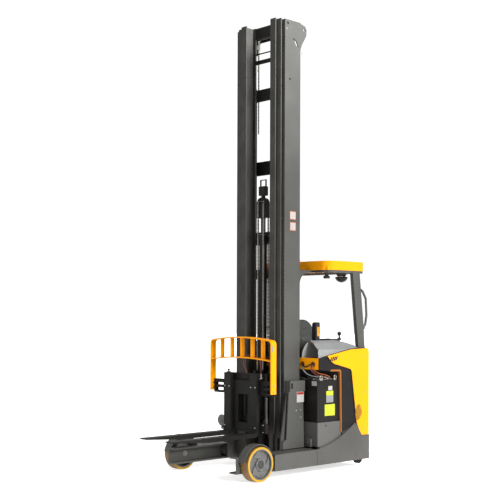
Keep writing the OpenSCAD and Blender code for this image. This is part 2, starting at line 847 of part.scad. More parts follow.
module rear_pillar_outline() {
    top_z = pillar_top_z;
    polygon([[pillar_foot_x, body_top], [pillar_top_x, top_z], [pillar_top_x - pillar_d, top_z],
        [pillar_foot_x - 66, panel_top + 320], [pillar_foot_x - 96, panel_top], [pillar_foot_x - 82, body_top]]);
}

module grab_handle() {
    y = guard_half - 6 - pillar_w / 2;
    points = [[-1580, 1890], [-1618, 1880], [grab_rear_x + grab_d / 2 + 12, 1800],
        [grab_rear_x + grab_d / 2, 1620], [-1664, 1520], [-1618, 1482]];
    placed() color([0.25, 0.25, 0.25]) difference() {
        for (i = [0:len(points) - 2]) hull() {
            translate([points[i][0], y, points[i][1]]) sphere(d = grab_d, $fn = 12);
            translate([points[i + 1][0], y, points[i + 1][1]]) sphere(d = grab_d, $fn = 12);
        }
        side_profile(y - pillar_w, y + pillar_w) rear_pillar_outline();
    }
}

module roof_fittings() {
    z = roof_low;
    placed() color([0.15, 0.15, 0.15]) {
        // Mirror dome under a roof bar
        translate([-guard_rear + 130, fitting_y, z]) intersection() {
            sphere(r = 66, $fn = 40);
            translate([-80, -80, -80]) cube([160, 160, 80]);
        }
        // Work lamp under the same bar
        translate([-guard_front - 196, fitting_y, z - 42]) cylinder(d = 62, h = 42);
    }
}

module stabiliser_feet() {
    low = 28;
    floor_top = ground_gap + chassis_t;
    housing_top = floor_top + 54;
    placed() color([0.08, 0.08, 0.08]) both_sides() {
        // Round-bottomed skid that hangs through the floor from its housing
        intersection() {
            y_bar(foot_x, low + 56, 112, foot_y - 20, foot_y + 20);
            span([foot_x - 52, foot_y - 30, 0], [foot_x + 52, foot_y + 30, housing_top - 8]);
        }
        difference() {
            span([foot_x - 58, foot_y - 32, floor_top], [foot_x + 58, foot_y + 32, housing_top]);
            span([foot_x - 52, foot_y - 21, floor_top - 1], [foot_x + 52, foot_y + 21, housing_top - 8]);
        }
    }
}

// Reach carriage and outer mast

module reach_frame() {
    roller_z = ground_gap + leg_h / 2;
    guide_d = leg_h - 2 * channel_flange - 2 * run_gap;
    inner_t = 18;
    foot_z = leg_top + 10;
    side_front_x = mast_x + 52.5;
    side_head_x = mast_x + 11.5;
    spacer_x = [mast_rear_x + 23, mast_x - 6.5];
    placed() color("gray") {
        both_sides() {
            difference() {
                union() {
                    // Outer side plate
                    side_profile(reach_out - reach_t, reach_out) polygon([
                        [side_front_x, foot_z], [mast_rear_x + 12, foot_z],
                        [mast_rear_x + 35, reach_top], [side_head_x, reach_top]]);
                    // Inner plate that carries the rollers
                    side_profile(plate_in, plate_in + inner_t) polygon([
                        [side_front_x + 41, roller_low], [mast_rear_x + 6, roller_low], [mast_rear_x + 20, reach_top],
                        [side_head_x - 8, reach_top], [side_front_x + 36, reach_knee_z]]);
                    // Spacers between the plates and to the mast
                    span([spacer_x[0], plate_in, foot_z], [side_head_x + 12, reach_out, foot_z + 30]);
                    span([spacer_x[0] + 14, plate_in, reach_top - 40], [spacer_x[1], reach_out, reach_top]);
                    span([mast_rear_x + 2, mast_half, reach_top - 1], [spacer_x[1], reach_out, reach_top + clamp_h]);
                    for (z = [roller_low + 34, reach_top - 120])
                        span([spacer_x[0] - 1, mast_half, z], [spacer_x[1] - 20, plate_in + 2, z + 120]);
                    // Foot cover
                    side_profile(plate_in + inner_t - 1, reach_out + 8) polygon(concat(
                        [[side_front_x - 19, foot_z], [side_front_x - 19, foot_z + 90]],
                        arc(side_front_x + 1, foot_z + 42, 50, 90, 0, 8), [[side_front_x + 51, foot_z]]));
                }
                // Recess in the clamp block
                span([mast_x - 46.5, reach_out - 22, reach_top + 30], [mast_x - 18.5, reach_out + 1, reach_top + 84]);
            }
            // Rollers in the leg's channel
            for (x = [side_front_x - 19, mast_rear_x + 65]) {
                y_bar(x, roller_z, 44, plate_in + 10, leg_in + 24);
                y_bar(x, roller_z, guide_d, leg_in + 18, web_in - 6, 64);
            }
        }
        // Beam under the mast
        span([spacer_x[0], -plate_in - 1, mast_foot - 18], [spacer_x[0] + 60, plate_in + 1, mast_foot]);
        // Rod of the reach cylinder, in its lug
        span([spacer_x[0], reach_cyl_y - reach_lug_half, mast_foot - 1],
            [spacer_x[0] + 30, reach_cyl_y + reach_lug_half, reach_lug_top]);
        x_bar(reach_cyl_y, reach_cyl_z, reach_rod_d, reach_barrel_x + 60, spacer_x[0] + 15);
    }
}

// Plan of rail i: its web and two flanges, which run from y0 to y1
module rail_plan(i, y0, y1) {
    translate([rail_front[i] - rail_flange, y0]) square([rail_flange, y1 - y0]);
    translate([rail_rear[i], y0]) square([rail_flange, y1 - y0]);
    translate([rail_rear[i], web_y[i]]) square([rail_depth, rail_web]);
}

// Rail i of a moving stage: no outer flanges at its foot, where its roller runs in the rail around it
module stage_rail(i) {
    low = rail_foot[i];
    out_y = web_y[i] + rail_web;
    translate([0, 0, low]) linear_extrude(foot_zone + 1) rail_plan(i, flange_in[i], out_y);
    translate([0, 0, low + foot_zone]) linear_extrude(rail_top[i] - low - foot_zone)
        rail_plan(i, flange_in[i], flange_out[i]);
    y_bar(pocket_x[i - 1], low + 100, stub_d, out_y - 1, web_y[i - 1] - roller_w);
    y_bar(pocket_x[i - 1], low + 100, roller_d, web_y[i - 1] - roller_w - 2, web_y[i - 1] - 2, 64);
}

// Cross bars between the rails: bars lists [lower edge, height] for each
module crossbars(bars, x0, x1, half) {
    for (bar = bars) span([x0, -half, bar[0]], [x1, half, bar[0] + bar[1]]);
}

module outer_rails() {
    placed() color("gray") both_sides() difference() {
        union() {
            translate([0, 0, mast_foot]) linear_extrude(mast_top - mast_foot) union() {
                rail_plan(0, flange_in[0], mast_half);
                translate([mast_rear_x, web_y[0]]) square([mast_depth, rail_web]);
            }
            // Widened head plate
            side_profile(web_y[0], mast_half) polygon([
                [mast_rear_x + 1, mast_top - 282], [mast_rear_x, mast_top - 282], [mast_rear_x - 26, mast_top - 220],
                [head_x + 2, mast_top - 120], [head_x, mast_top - 60], [head_x + 19, mast_top - 24],
                [mast_rear_x + 1, mast_top - 8]]);
        }
        // Lifting hole, second hole and slot in the head
        y_bar(mast_x - 38, mast_top - 38, lift_hole_d, web_y[0] - 1, mast_half + 1);
        y_bar(head_x + 34, mast_top - 66, 30, web_y[0] - 1, mast_half + 1);
        side_profile(web_y[0] - 1, mast_half + 1) polygon([
            [mast_x - 112, mast_top - 178], [mast_x - 162, mast_top - 196],
            [mast_x - 206, mast_top - 262], [mast_x - 166, mast_top - 250]]);
    }
}

// Height at the given share of the outer mast
function up(share) = mast_foot + (mast_top - mast_foot) * share;

module outer_crossbars() {
    bars = [[mast_foot, 150], [up(0.186), 120], [up(0.4155), 104], [up(0.6614), 150], [mast_top - 104, 100]];
    slot_half = reach_lug_half + 2;
    placed() color([0.2, 0.2, 0.2]) difference() {
        union() {
            crossbars(bars, mast_rear_x, mast_rear_x + crossbar_t, web_y[0]);
            // Base plate that carries the lift cylinders
            span([mast_rear_x + crossbar_t, -flange_in[0], mast_foot],
                [rail_rear[0] - 4, flange_in[0], mast_foot + base_t]);
        }
        // Slot for the reach cylinder's rod and its lug
        span([mast_rear_x - 1, reach_cyl_y - slot_half, mast_foot - 1],
            [rail_rear[0], reach_cyl_y + slot_half, reach_lug_top + 2]);
    }
}

module lift_barrels() {
    low = mast_foot + base_t;
    placed() color([0.15, 0.15, 0.15]) both_sides() translate([lift_cyl_x, lift_cyl_y, 0]) difference() {
        translate([0, 0, low]) cylinder(d = lift_barrel_d, h = lift_barrel_top - low);
        translate([0, 0, low + 30]) cylinder(d = lift_rod_d + 2 * run_gap, h = lift_barrel_top);
    }
}

module middle_rails() {
    placed() color([0.2, 0.2, 0.2]) both_sides() {
        stage_rail(1);
        // Head bracket over the lift cylinder's rod
        span([lift_cyl_x - 24, lift_cyl_y - 20, lift_head_z], [rail_rear[1] + 1, lift_cyl_y + 16, lift_head_z + lift_head_h]);
    }
}

module middle_crossbars() {
    bars = [[rail_foot[1] + 60, 130], [up(0.4945), 136], [up(0.8314), 128], [rail_top[1] - 118, 90]];
    placed() color([0.12, 0.12, 0.12]) crossbars(bars, rail_rear[1], rail_rear[1] + rail_flange, flange_in[1]);
}

module lift_rods() {
    placed() color("silver") both_sides() translate([lift_cyl_x, lift_cyl_y, mast_foot + base_t + 50])
        cylinder(d = lift_rod_d, h = lift_head_z - mast_foot - base_t - 50);
}

module inner_rails() {
    placed() color([0.2, 0.2, 0.2]) both_sides() stage_rail(2);
}

module inner_crossbars() {
    bars = [[rail_foot[2], 60], [rail_top[2] - 394, 42], [rail_top[2] - 125, 120]];
    placed() color([0.12, 0.12, 0.12]) {
        crossbars(bars, rail_rear[2], rail_rear[2] + rail_flange, flange_in[2]);
        // Tie rod below the head
        y_bar(rail_rear[2] + rail_flange / 2, rail_top[2] - 283, tie_d, -flange_in[2], flange_in[2]);
        // Foot plate of the free-lift cylinder
        span([rail_rear[2] + rail_flange, -free_barrel_d / 2, rail_foot[2]],
            [free_x + free_barrel_d / 2, free_barrel_d / 2, free_foot]);
    }
}

module free_lift_barrel() {
    placed() color([0.15, 0.15, 0.15]) translate([free_x, 0, 0]) difference() {
        union() {
            translate([0, 0, free_foot]) cylinder(d = free_barrel_d, h = free_barrel_top - free_foot);
            // Gland nut
            translate([0, 0, free_barrel_top - gland_h]) cylinder(d = free_barrel_d + 4, h = gland_h, $fn = 64);
        }
        translate([0, 0, free_foot + 40]) cylinder(d = free_rod_d + 2 * run_gap, h = free_barrel_top);
    }
}

// Crosshead on the free-lift rod, with the sheaves of the carriage's two chains
module free_lift_head() {
    loop_low = free_head_top - 74;
    neck_low = loop_low - 138;
    yoke_top = neck_low - 2;
    yoke_low = yoke_top - 191;
    sheave_z = yoke_top - sheave_r - 6;
    block_half = 32;
    rod_low = free_foot + 340;
    placed() color([0.1, 0.1, 0.1]) translate([free_x, 0, 0]) {
        translate([0, 0, rod_low]) cylinder(d = free_rod_d, h = yoke_low + 1 - rod_low);
        // Yoke between the two chain sheaves, with its round shoulders
        difference() {
            side_profile(-sheave_y - sheave_w / 2 - 6, sheave_y + sheave_w / 2 + 6) polygon(concat(
                [[block_half, yoke_low], [sheave_r - 8, yoke_low + 50]], arc(0, sheave_z, sheave_r - 8, 0, 180, 12),
                [[8 - sheave_r, yoke_low + 50], [-block_half, yoke_low]]));
            for (side = [-1, 1]) span([-sheave_r, side * sheave_y - sheave_w / 2 - 1, sheave_z - sheave_r - 12],
                [sheave_r, side * sheave_y + sheave_w / 2 + 1, sheave_z + sheave_r]);
        }
        for (side = [-1, 1]) y_bar(0, sheave_z, 2 * sheave_r - 12, side * sheave_y - sheave_w / 2,
            side * sheave_y + sheave_w / 2, 48);
        y_bar(0, sheave_z, 26, -sheave_y - sheave_w / 2 - 12, sheave_y + sheave_w / 2 + 12);
        // Neck and block that carry the guard loop
        translate([0, 0, yoke_top - 10]) cylinder(d = 44, h = 54);
        span([-28, -43, neck_low + 42], [28, 43, loop_low + 1]);
        difference() {
            span([-8, -43, loop_low], [8, 43, free_head_top]);
            span([-9, -35, loop_low - 1], [9, 35, free_head_top - 8]);
        }
    }
}

// Lift carriage, tilt frame and forks

module lift_frame() {
    barrel_rear = lift_back_x + 35;
    ear_half = 26;
    placed() color([0.12, 0.12, 0.12]) {
        both_sides() {
            span([lift_back_x, lift_y - lift_plate_t, lift_low], [lift_front_x, lift_y, lift_top]);
            for (z = [lift_low + 90, lift_top - 90]) {
                y_bar(pocket_x[2], z, stub_d, lift_y - 2, web_y[2] - roller_w);
                y_bar(pocket_x[2], z, roller_d, web_y[2] - roller_w - 2, web_y[2] - 3, 64);
            }
            // Lower pivot ear
            side_profile(lift_y - lift_plate_t, lift_y) polygon([
                [lift_front_x - 1, lift_low], [tilt_pivot_x - ear_half, tilt_pivot_z - ear_half],
                [tilt_pivot_x + ear_half - 4, tilt_pivot_z - ear_half],
                [tilt_pivot_x + ear_half - 4, tilt_pivot_z + ear_half],
                [lift_front_x - 1, tilt_pivot_z + 100]]);
            // Tilt cylinder
            difference() {
                x_bar(tilt_cyl_y, tilt_cyl_z, 2 * tilt_rod_d, barrel_rear, lift_front_x - lift_bar_t + 1);
                x_bar(tilt_cyl_y, tilt_cyl_z, tilt_rod_d + 2 * run_gap, barrel_rear + 10, lift_front_x);
            }
        }
        for (z = [lift_low, lift_top - lift_bar_h]) difference() {
            span([lift_front_x - lift_bar_t, -lift_y + 1, z], [lift_front_x, lift_y - 1, z + lift_bar_h]);
            for (side = [-1, 1]) x_bar(side * tilt_cyl_y, tilt_cyl_z, tilt_rod_d + 2 * run_gap,
                lift_front_x - lift_bar_t - 1, lift_front_x + 1);
        }
        y_bar(tilt_pivot_x, tilt_pivot_z, pivot_d, -lift_y + 1, lift_y - 1);
    }
}

module tilt_frame() {
    half = lift_y - lift_plate_t - 6;
    window_half = half - 51;
    lug_out = half - 25;
    lug_w = 60;
    lug_half = pivot_d / 2 + 9;
    rail_h = 40;
    placed() color([0.14, 0.14, 0.14]) {
        difference() {
            span([tilt_back_x, -half, lower_bar_z], [tilt_front_x, half, tilt_top_z]);
            span([tilt_back_x - 1, -window_half, tilt_pivot_z + 120],
                [tilt_front_x + 1, window_half, tilt_cyl_z - 80]);
        }
        // Lugs round the pivot pin
        both_sides() difference() {
            side_profile(lug_out - lug_w, lug_out) polygon([
                [tilt_back_x + 1, lower_bar_z], [tilt_back_x + 1, tilt_pivot_z + 50],
                [tilt_pivot_x - lug_half, tilt_pivot_z + lug_half], [tilt_pivot_x - lug_half, tilt_pivot_z - lug_half]]);
            y_bar(tilt_pivot_x, tilt_pivot_z, pivot_d + 2 * bearing_gap, lug_out - lug_w - 1, lug_out + 1);
        }
        // Rails that the fork carriage slides on
        for (z = [lower_bar_z + 20, upper_bar_z + 40])
            span([tilt_front_x - 1, -half, z], [bar_back_x - shift_gap, half, z + rail_h]);
    }
}

module tilt_rod() {
    placed() color("silver") both_sides()
        x_bar(tilt_cyl_y, tilt_cyl_z, tilt_rod_d, lift_front_x - 65, tilt_back_x - 1.5);
}

module fork_bars() {
    half = rest_half - rest_t;
    low_half = leg_in - side_shift - 6;
    top = blade_low + shank_h;
    slot_in = fork_y + fork_w / 2 + 55;
    slot_out = half - 30;
    slots = [[24, 30], [82, 24]];
    placed() color([0.1, 0.1, 0.1]) {
        // Upper bar with slotted ends
        difference() {
            span([bar_back_x, -half, upper_bar_z], [bar_x, half, upper_bar_z + upper_bar_h]);
            both_sides() for (slot = slots) span([bar_back_x - 1, slot_in, upper_bar_z + slot[0]],
                [bar_x + 1, slot_out, upper_bar_z + slot[0] + slot[1]]);
        }
        span([bar_back_x, -low_half, lower_bar_z], [bar_x, low_half, lower_bar_z + lower_bar_h]);
        // Plates that join the bars
        both_sides() span([bar_back_x, fork_y - 125, lower_bar_z + lower_bar_h - 1],
            [bar_x, fork_y - 55, upper_bar_z + 1]);
        // Cover above the upper bar
        span([bar_back_x, -fork_y - 10, upper_bar_z + upper_bar_h - 1], [bar_back_x + rest_t, fork_y + 10, top]);
    }
}

module fork() {
    heel_r = 60;
    placed() color([0.12, 0.12, 0.12]) side_profile(fork_y - fork_w / 2, fork_y + fork_w / 2) polygon(concat(
        [[-fork_face, blade_low + shank_h], [-fork_face, fork_z + 20]],
        arc(-fork_face + 20, fork_z + 20, 20, 180, 270, 5),
        [[fork_tip_x, fork_z], [fork_tip_x, fork_z - fork_tip_t], [fork_tip_x - 450, blade_low]],
        arc(shank_back_x + heel_r, blade_low + heel_r, heel_r, 270, 180, 8),
        [[shank_back_x, blade_low + shank_h]]));
}

module fork_left() {
    fork();
}

module fork_right() {
    mirror([0, 1, 0]) fork();
}

// A rail of the backrest: a flat bar bowed upwards by rest_arch over the given half width
function bow(y, half) = rest_arch * (1 - pow(y / half, 2));

module backrest() {
    x1 = rest_front_x;
    x0 = x1 - rest_d;
    half = rest_half;
    corner = 46;
    steps = 12;
    placed() color("gold") {
        // Posts and top rail in one bent bar
        cross_profile(x0, x1) difference() {
            polygon(concat(
                [[half, rest_low]], arc(half - corner, rest_top - corner, corner, 0, 90, 6),
                [for (i = [1:steps - 1]) let (y = (half - corner) * (1 - 2 * i / steps))
                    [y, rest_top + bow(y, half - corner)]],
                arc(-half + corner, rest_top - corner, corner, 90, 180, 6), [[-half, rest_low]]));
            polygon(concat(
                [[half - rest_t, rest_low - 1]],
                arc(half - corner, rest_top - corner, corner - rest_t, 0, 90, 6),
                [for (i = [1:steps - 1]) let (y = (half - corner) * (1 - 2 * i / steps))
                    [y, rest_top - rest_t + bow(y, half - corner)]],
                arc(-half + corner, rest_top - corner, corner - rest_t, 90, 180, 6),
                [[-half + rest_t, rest_low - 1]]));
        }
        // Second rail
        cross_profile(x0, x1) polygon(concat(
            [for (i = [0:steps]) let (y = (half - rest_t) * (1 - 2 * i / steps))
                [y, rest_top - rest_rail_drop + bow(y, half)]],
            [for (i = [steps:-1:0]) let (y = (half - rest_t) * (1 - 2 * i / steps))
                [y, rest_top - rest_rail_drop - rest_t + bow(y, half)]]));
        // Bars between the rails
        for (i = [1:rest_bars]) let (y = -half + 2 * half * i / (rest_bars + 1))
            span([x0 + 12, y - rest_t / 2, rest_top - rest_rail_drop - rest_t / 2 + bow(y, half)],
                [x1 - 12, y + rest_t / 2, rest_top - rest_t / 2 + bow(y, half - corner)]);
    }
}

// Drive unit

module drive_unit() {
    leg_y = drive_w / 2 + 10;
    leg_t = 46;
    leg_half = 60;
    placed() color([0.2, 0.2, 0.2]) translate([-wheelbase, -drive_y, 0]) {
        translate([0, 0, drive_disc_z]) cylinder(d = drive_disc_d, h = drive_disc_t);
        translate([0, 0, drive_disc_z + drive_disc_t - 1]) cylinder(d = motor_d, h = motor_h);
        // Gearbox leg beside the wheel
        span([-leg_half, leg_y, drive_z - leg_half], [leg_half, leg_y + leg_t, drive_disc_z + 6]);
        y_bar(0, drive_z, drive_axle_d, -drive_w / 2 + 10, leg_y + 10);
    }
}

module drive_tyre() {
    placed() color([0.5, 0.3, 0.1]) translate([-wheelbase, -drive_y, drive_z])
        wheel_ring(drive_d, drive_d - 2 * drive_tread, drive_w, tread_shoulder);
}

module drive_hub() {
    half = drive_w / 2 - 4;
    placed() color([0.3, 0.3, 0.3]) translate([-wheelbase, -drive_y, 0]) difference() {
        y_bar(0, drive_z, drive_d - 2 * drive_tread, -half, half, 96);
        y_bar(0, drive_z, drive_axle_d + 2 * bearing_gap, -half - 1, half + 1);
    }
}

leg_left();
leg_right();
wheel_arches();
load_axles();
main_frame();
side_skirts();
battery();
battery_tray();
front_header();
dark_panels();
side_panels();
front_cowl();
console();
bay_floor();
power_housing();
back_pad();
controls();
guard_roof();
guard_pillars();
grab_handle();
roof_fittings();
stabiliser_feet();
reach_frame();
outer_rails();
outer_crossbars();
lift_barrels();
middle_rails();
middle_crossbars();
lift_rods();
inner_rails();
inner_crossbars();
free_lift_barrel();
free_lift_head();
lift_frame();
tilt_frame();
tilt_rod();
fork_bars();
fork_left();
fork_right();
backrest();
load_tyre_left();
load_hub_left();
load_tyre_right();
load_hub_right();
drive_unit();
drive_tyre();
drive_hub();
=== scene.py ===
"""Reach truck: the finishes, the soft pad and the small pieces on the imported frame."""
import math
import bmesh
import bpy
from mathutils import Matrix, Vector, noise
from mathutils.bvhtree import BVHTree


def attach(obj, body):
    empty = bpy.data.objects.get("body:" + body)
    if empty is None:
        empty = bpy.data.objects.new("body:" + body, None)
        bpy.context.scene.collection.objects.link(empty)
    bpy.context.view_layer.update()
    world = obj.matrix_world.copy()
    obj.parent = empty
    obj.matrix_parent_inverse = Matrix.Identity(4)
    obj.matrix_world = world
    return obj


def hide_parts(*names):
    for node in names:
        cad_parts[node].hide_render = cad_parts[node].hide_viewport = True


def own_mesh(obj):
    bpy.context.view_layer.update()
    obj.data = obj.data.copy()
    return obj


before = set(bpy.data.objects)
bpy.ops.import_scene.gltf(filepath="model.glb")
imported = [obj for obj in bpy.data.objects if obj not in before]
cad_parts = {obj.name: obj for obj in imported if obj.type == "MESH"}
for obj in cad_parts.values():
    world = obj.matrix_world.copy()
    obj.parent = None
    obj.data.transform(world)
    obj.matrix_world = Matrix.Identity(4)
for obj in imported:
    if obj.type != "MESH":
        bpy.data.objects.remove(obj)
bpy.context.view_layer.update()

bl_info = {
    "name": "Reach Truck",
    "version": (1, 0, 0),
    "blender": (4, 5, 0),
    "location": "View3D > Sidebar > Reach Truck",
    "description": "Finishes, soft pad and small pieces of a reach truck",
    "category": "Add Mesh",
}

MM = 0.001
# The row's middle stands this far in front of the load axle
ROW_SHIFT = 454.0
X, Y, Z = Vector((1, 0, 0)), Vector((0, 1, 0)), Vector((0, 0, 1))
SIDES = (1, -1)


# Small helpers

def at(x, y, z):
    """A point of the frame, from millimetres ahead of the load axle, left of the middle and over the floor."""
    return Vector((x + ROW_SHIFT, y, z)) * MM


def linear(hex_colour):
    """The linear colour of an sRGB hex value."""
    parts = [int(hex_colour[i:i + 2], 16) / 255 for i in (1, 3, 5)]
    return tuple(c / 12.92 if c <= 0.04045 else ((c + 0.055) / 1.055) ** 2.4 for c in parts) + (1.0,)


def add_node(tree, kind, settings=None, values=None, links=None):
    """Adds a shader node, sets its properties and sockets, and joins sockets to other nodes' outputs."""
    node = tree.nodes.new(kind)
    for name, value in (settings or {}).items():
        setattr(node, name, value)
    for name, value in (values or {}).items():
        node.inputs[name].default_value = value
    for name, source in (links or {}).items():
        tree.links.new(source, node.inputs[name])
    return node


def new_material(name, **values):
    """A material with one principled shader, and its tree, shader and object coordinates."""
    material = bpy.data.materials.new(name)
    material.use_nodes = True
    tree = material.node_tree
    shader = tree.nodes["Principled BSDF"]
    for socket, value in values.items():
        shader.inputs[socket.replace("_", " ")].default_value = value
    place = add_node(tree, "ShaderNodeTexCoord").outputs["Object"]
    return material, tree, shader, place


def per_metre(millimetres):
    """Texture scale for a feature of that size."""
    return 1000.0 / millimetres


def mottled(tree, place, low, high, size_mm, detail=4.0, start=0.35, end=0.65):
    """A colour that wanders between two hex values over patches of the given size."""
    cloud = add_node(tree, "ShaderNodeTexNoise", values={"Scale": per_metre(size_mm), "Detail": detail},
                     links={"Vector": place})
    ramp = add_node(tree, "ShaderNodeValToRGB", links={"Fac": cloud.outputs["Fac"]})
    ramp.color_ramp.elements[0].position = start
    ramp.color_ramp.elements[0].color = linear(low)
    ramp.color_ramp.elements[1].position = end
    ramp.color_ramp.elements[1].color = linear(high)
    return ramp.outputs["Color"]


def graded(tree, place, low, high, size_mm, detail=3.0):
    """A number that wanders between two values over patches of the given size."""
    cloud = add_node(tree, "ShaderNodeTexNoise", values={"Scale": per_metre(size_mm), "Detail": detail},
                     links={"Vector": place})
    return add_node(tree, "ShaderNodeMapRange",
                    values={"From Min": 0.3, "From Max": 0.7, "To Min": low, "To Max": high},
                    links={"Value": cloud.outputs["Fac"]}).outputs["Result"]


def grain(tree, place, size_mm, depth_mm, detail=2.0):
    """A bumped normal from a grain of the given size and depth."""
    cloud = add_node(tree, "ShaderNodeTexNoise", values={"Scale": per_metre(size_mm), "Detail": detail},
                     links={"Vector": place})
    return add_node(tree, "ShaderNodeBump", values={"Strength": 0.6, "Distance": depth_mm * MM},
                    links={"Height": cloud.outputs["Fac"]}).outputs["Normal"]


def blended(tree, share, first, second):
    """One colour going over to another by a share."""
    return add_node(tree, "ShaderNodeMixRGB", {}, {}, {"Fac": share, "Color1": first, "Color2": second}).outputs["Color"]


def dusted(tree, place, colour, dust, reach_m, amount):
    """Lays dust over a colour near the floor, fading out at the given height."""
    height = add_node(tree, "ShaderNodeSeparateXYZ", links={"Vector": place}).outputs["Z"]
    fade = add_node(tree, "ShaderNodeMapRange",
                    values={"From Min": 0.0, "From Max": reach_m, "To Min": amount, "To Max": 0.0},
                    links={"Value": height}).outputs["Result"]
    cloud = add_node(tree, "ShaderNodeTexNoise", values={"Scale": per_metre(60), "Detail": 6.0},
                     links={"Vector": place}).outputs["Fac"]
    share = add_node(tree, "ShaderNodeMath", {"operation": "MULTIPLY"}, {}, {0: fade, 1: cloud}).outputs[0]
    return add_node(tree, "ShaderNodeMixRGB", {}, {"Color2": linear(dust)},
                    {"Fac": share, "Color1": colour}).outputs["Color"]


# Materials, each from what the real one is

def powder_coat(name, low, high, rough_low, rough_high, specular=0.5, dust="#5F5A52"):
    """Baked powder paint: an even colour with a fine orange peel that softens reflections."""
    material, tree, shader, place = new_material(name, IOR=1.5, Specular_IOR_Level=specular)
    colour = mottled(tree, place, low, high, 420)
    tree.links.new(dusted(tree, place, colour, dust, 0.5, 0.22), shader.inputs["Base Color"])
    tree.links.new(graded(tree, place, rough_low, rough_high, 90), shader.inputs["Roughness"])
    tree.links.new(grain(tree, place, 9, 0.25), shader.inputs["Normal"])
    return material


def yellow_powder_coat():
    # Warm yellow paint: orange where it turns from the light, with a soft gloss
    return powder_coat("yellow_powder_coat", "#D88A00", "#DE8F00", 0.38, 0.5, 0.1, "#8A6A3A")


def charcoal_powder_coat():
    # Dark grey paint of the mast, legs and chassis: a broad dull sheen
    return powder_coat("charcoal_powder_coat", "#393937", "#40403E", 0.44, 0.58, 0.26)


def rail_coat_painted_light():
    # The same paint on the mast rails, with painted shade on the faces not turned to the sides and a painted highlight
    # that makes it paler up high
    material, tree, shader, place = new_material("charcoal_powder_coat_painted_light", IOR=1.5, Specular_IOR_Level=0.26)
    across = add_node(tree, "ShaderNodeSeparateXYZ", links={"Vector": add_node(
        tree, "ShaderNodeNewGeometry").outputs["True Normal"]}).outputs["Y"]
    side = add_node(tree, "ShaderNodeMath", {"operation": "ABSOLUTE"}, {}, {0: across}).outputs[0]
    # Painted shade: the faces not turned to the sides get the darker colour
    side_facing_share = add_node(tree, "ShaderNodeMapRange", values={"From Min": 0.5, "From Max": 0.8},
                     links={"Value": side}).outputs["Result"]
    # Painted highlight: the paint turns paler from 2.9 m to 4.5 m up
    height = add_node(tree, "ShaderNodeSeparateXYZ", links={"Vector": place}).outputs["Z"]
    painted_top_light = add_node(tree, "ShaderNodeMapRange", values={"From Min": 2.9, "From Max": 4.5},
                     links={"Value": height}).outputs["Result"]
    paint = blended(tree, painted_top_light, mottled(tree, place, "#393937", "#40403E", 420),
                    mottled(tree, place, "#5A5A58", "#636361", 420))
    # The darker colour of the painted shade
    painted_front_shade = mottled(tree, place, "#1F1E1B", "#2C2A27", 160)
    tree.links.new(blended(tree, side_facing_share, painted_front_shade, paint), shader.inputs["Base Color"])
    tree.links.new(graded(tree, place, 0.44, 0.58, 90), shader.inputs["Roughness"])
    tree.links.new(grain(tree, place, 9, 0.25), shader.inputs["Normal"])
    return material


def black_powder_coat():
    # Black paint of the carriages and forks: nearly no colour, a thin satin sheen on edges
    return powder_coat("black_powder_coat", "#121110", "#181716", 0.46, 0.6, 0.12, "#2A2825")


def battery_steel_coat():
    # Acid-proof black coat on a steel box: deep black, a little glossier than the frame
    return powder_coat("battery_acid_proof_coat", "#100F0E", "#151413", 0.38, 0.5, 0.14, "#24221F")


def tray_powder_coat():
    # Mid grey paint of the battery tray
    return powder_coat("grey_powder_coat", "#403F3D", "#464644", 0.42, 0.54, 0.35)


def yellow_powder_coat_painted_shade():
    # Edge of the battery recess: the yellow paint darkened to orange, as painted shade
    return powder_coat("yellow_powder_coat_painted_shade", "#75471D", "#7F4D20", 0.4, 0.52, 0.2, "#5A4630")


def pull_coat_painted_shade():
    # Floor of the panel's pull: the yellow paint darkened, as painted shade
    return powder_coat("yellow_powder_coat_pull_shade", "#7A560A", "#86600E", 0.45, 0.6, 0.15, "#5A4630")


def hard_chrome():
    # Ground and chromed rod: bright, with faint rings from the grinding wheel
    material, tree, shader, place = new_material("hard_chrome_ground", Metallic=1.0)
    tree.links.new(mottled(tree, place, "#B4B6B8", "#C6C8C9", 60), shader.inputs["Base Color"])
    tree.links.new(graded(tree, place, 0.14, 0.24, 30), shader.inputs["Roughness"])
    tree.links.new(grain(tree, place, 3, 0.02), shader.inputs["Normal"])
    return material


def metal(name, low, high, rough_low, rough_high, size_mm, depth_mm):
    """Worked steel: patchy colour and a fine tooled skin."""
    material, tree, shader, place = new_material(name, Metallic=1.0)
    tree.links.new(mottled(tree, place, low, high, size_mm), shader.inputs["Base Color"])
    tree.links.new(graded(tree, place, rough_low, rough_high, size_mm / 2), shader.inputs["Roughness"])
    tree.links.new(grain(tree, place, 4, depth_mm), shader.inputs["Normal"])
    return material


def bare_steel():
    # Turned mild steel with a film of oil: grey, brushed and patchy
    return metal("mild_steel_turned", "#6E6C69", "#8B8987", 0.28, 0.48, 40, 0.05)


def zinc_plate():
    # Zinc-plated fasteners: pale, faintly yellow, with soft highlights
    return metal("steel_zinc_plated", "#8F8D84", "#A9A79E", 0.3, 0.45, 12, 0.03)


def chain_steel():
    # Oiled leaf chain: grey plates with bright rubbed edges
    return metal("chain_steel_oiled", "#7C7A76", "#9C9A96", 0.32, 0.5, 15, 0.04)


def cast_hub():
    # Sand-cast iron under grey paint: a fine pebbled skin that glints
    material, tree, shader, place = new_material("cast_iron_painted", IOR=1.5, Specular_IOR_Level=0.4)
    tree.links.new(mottled(tree, place, "#444443", "#525250", 35), shader.inputs["Base Color"])
    tree.links.new(graded(tree, place, 0.34, 0.5, 24), shader.inputs["Roughness"])
    tree.links.new(grain(tree, place, 6, 0.5), shader.inputs["Normal"])
    return material


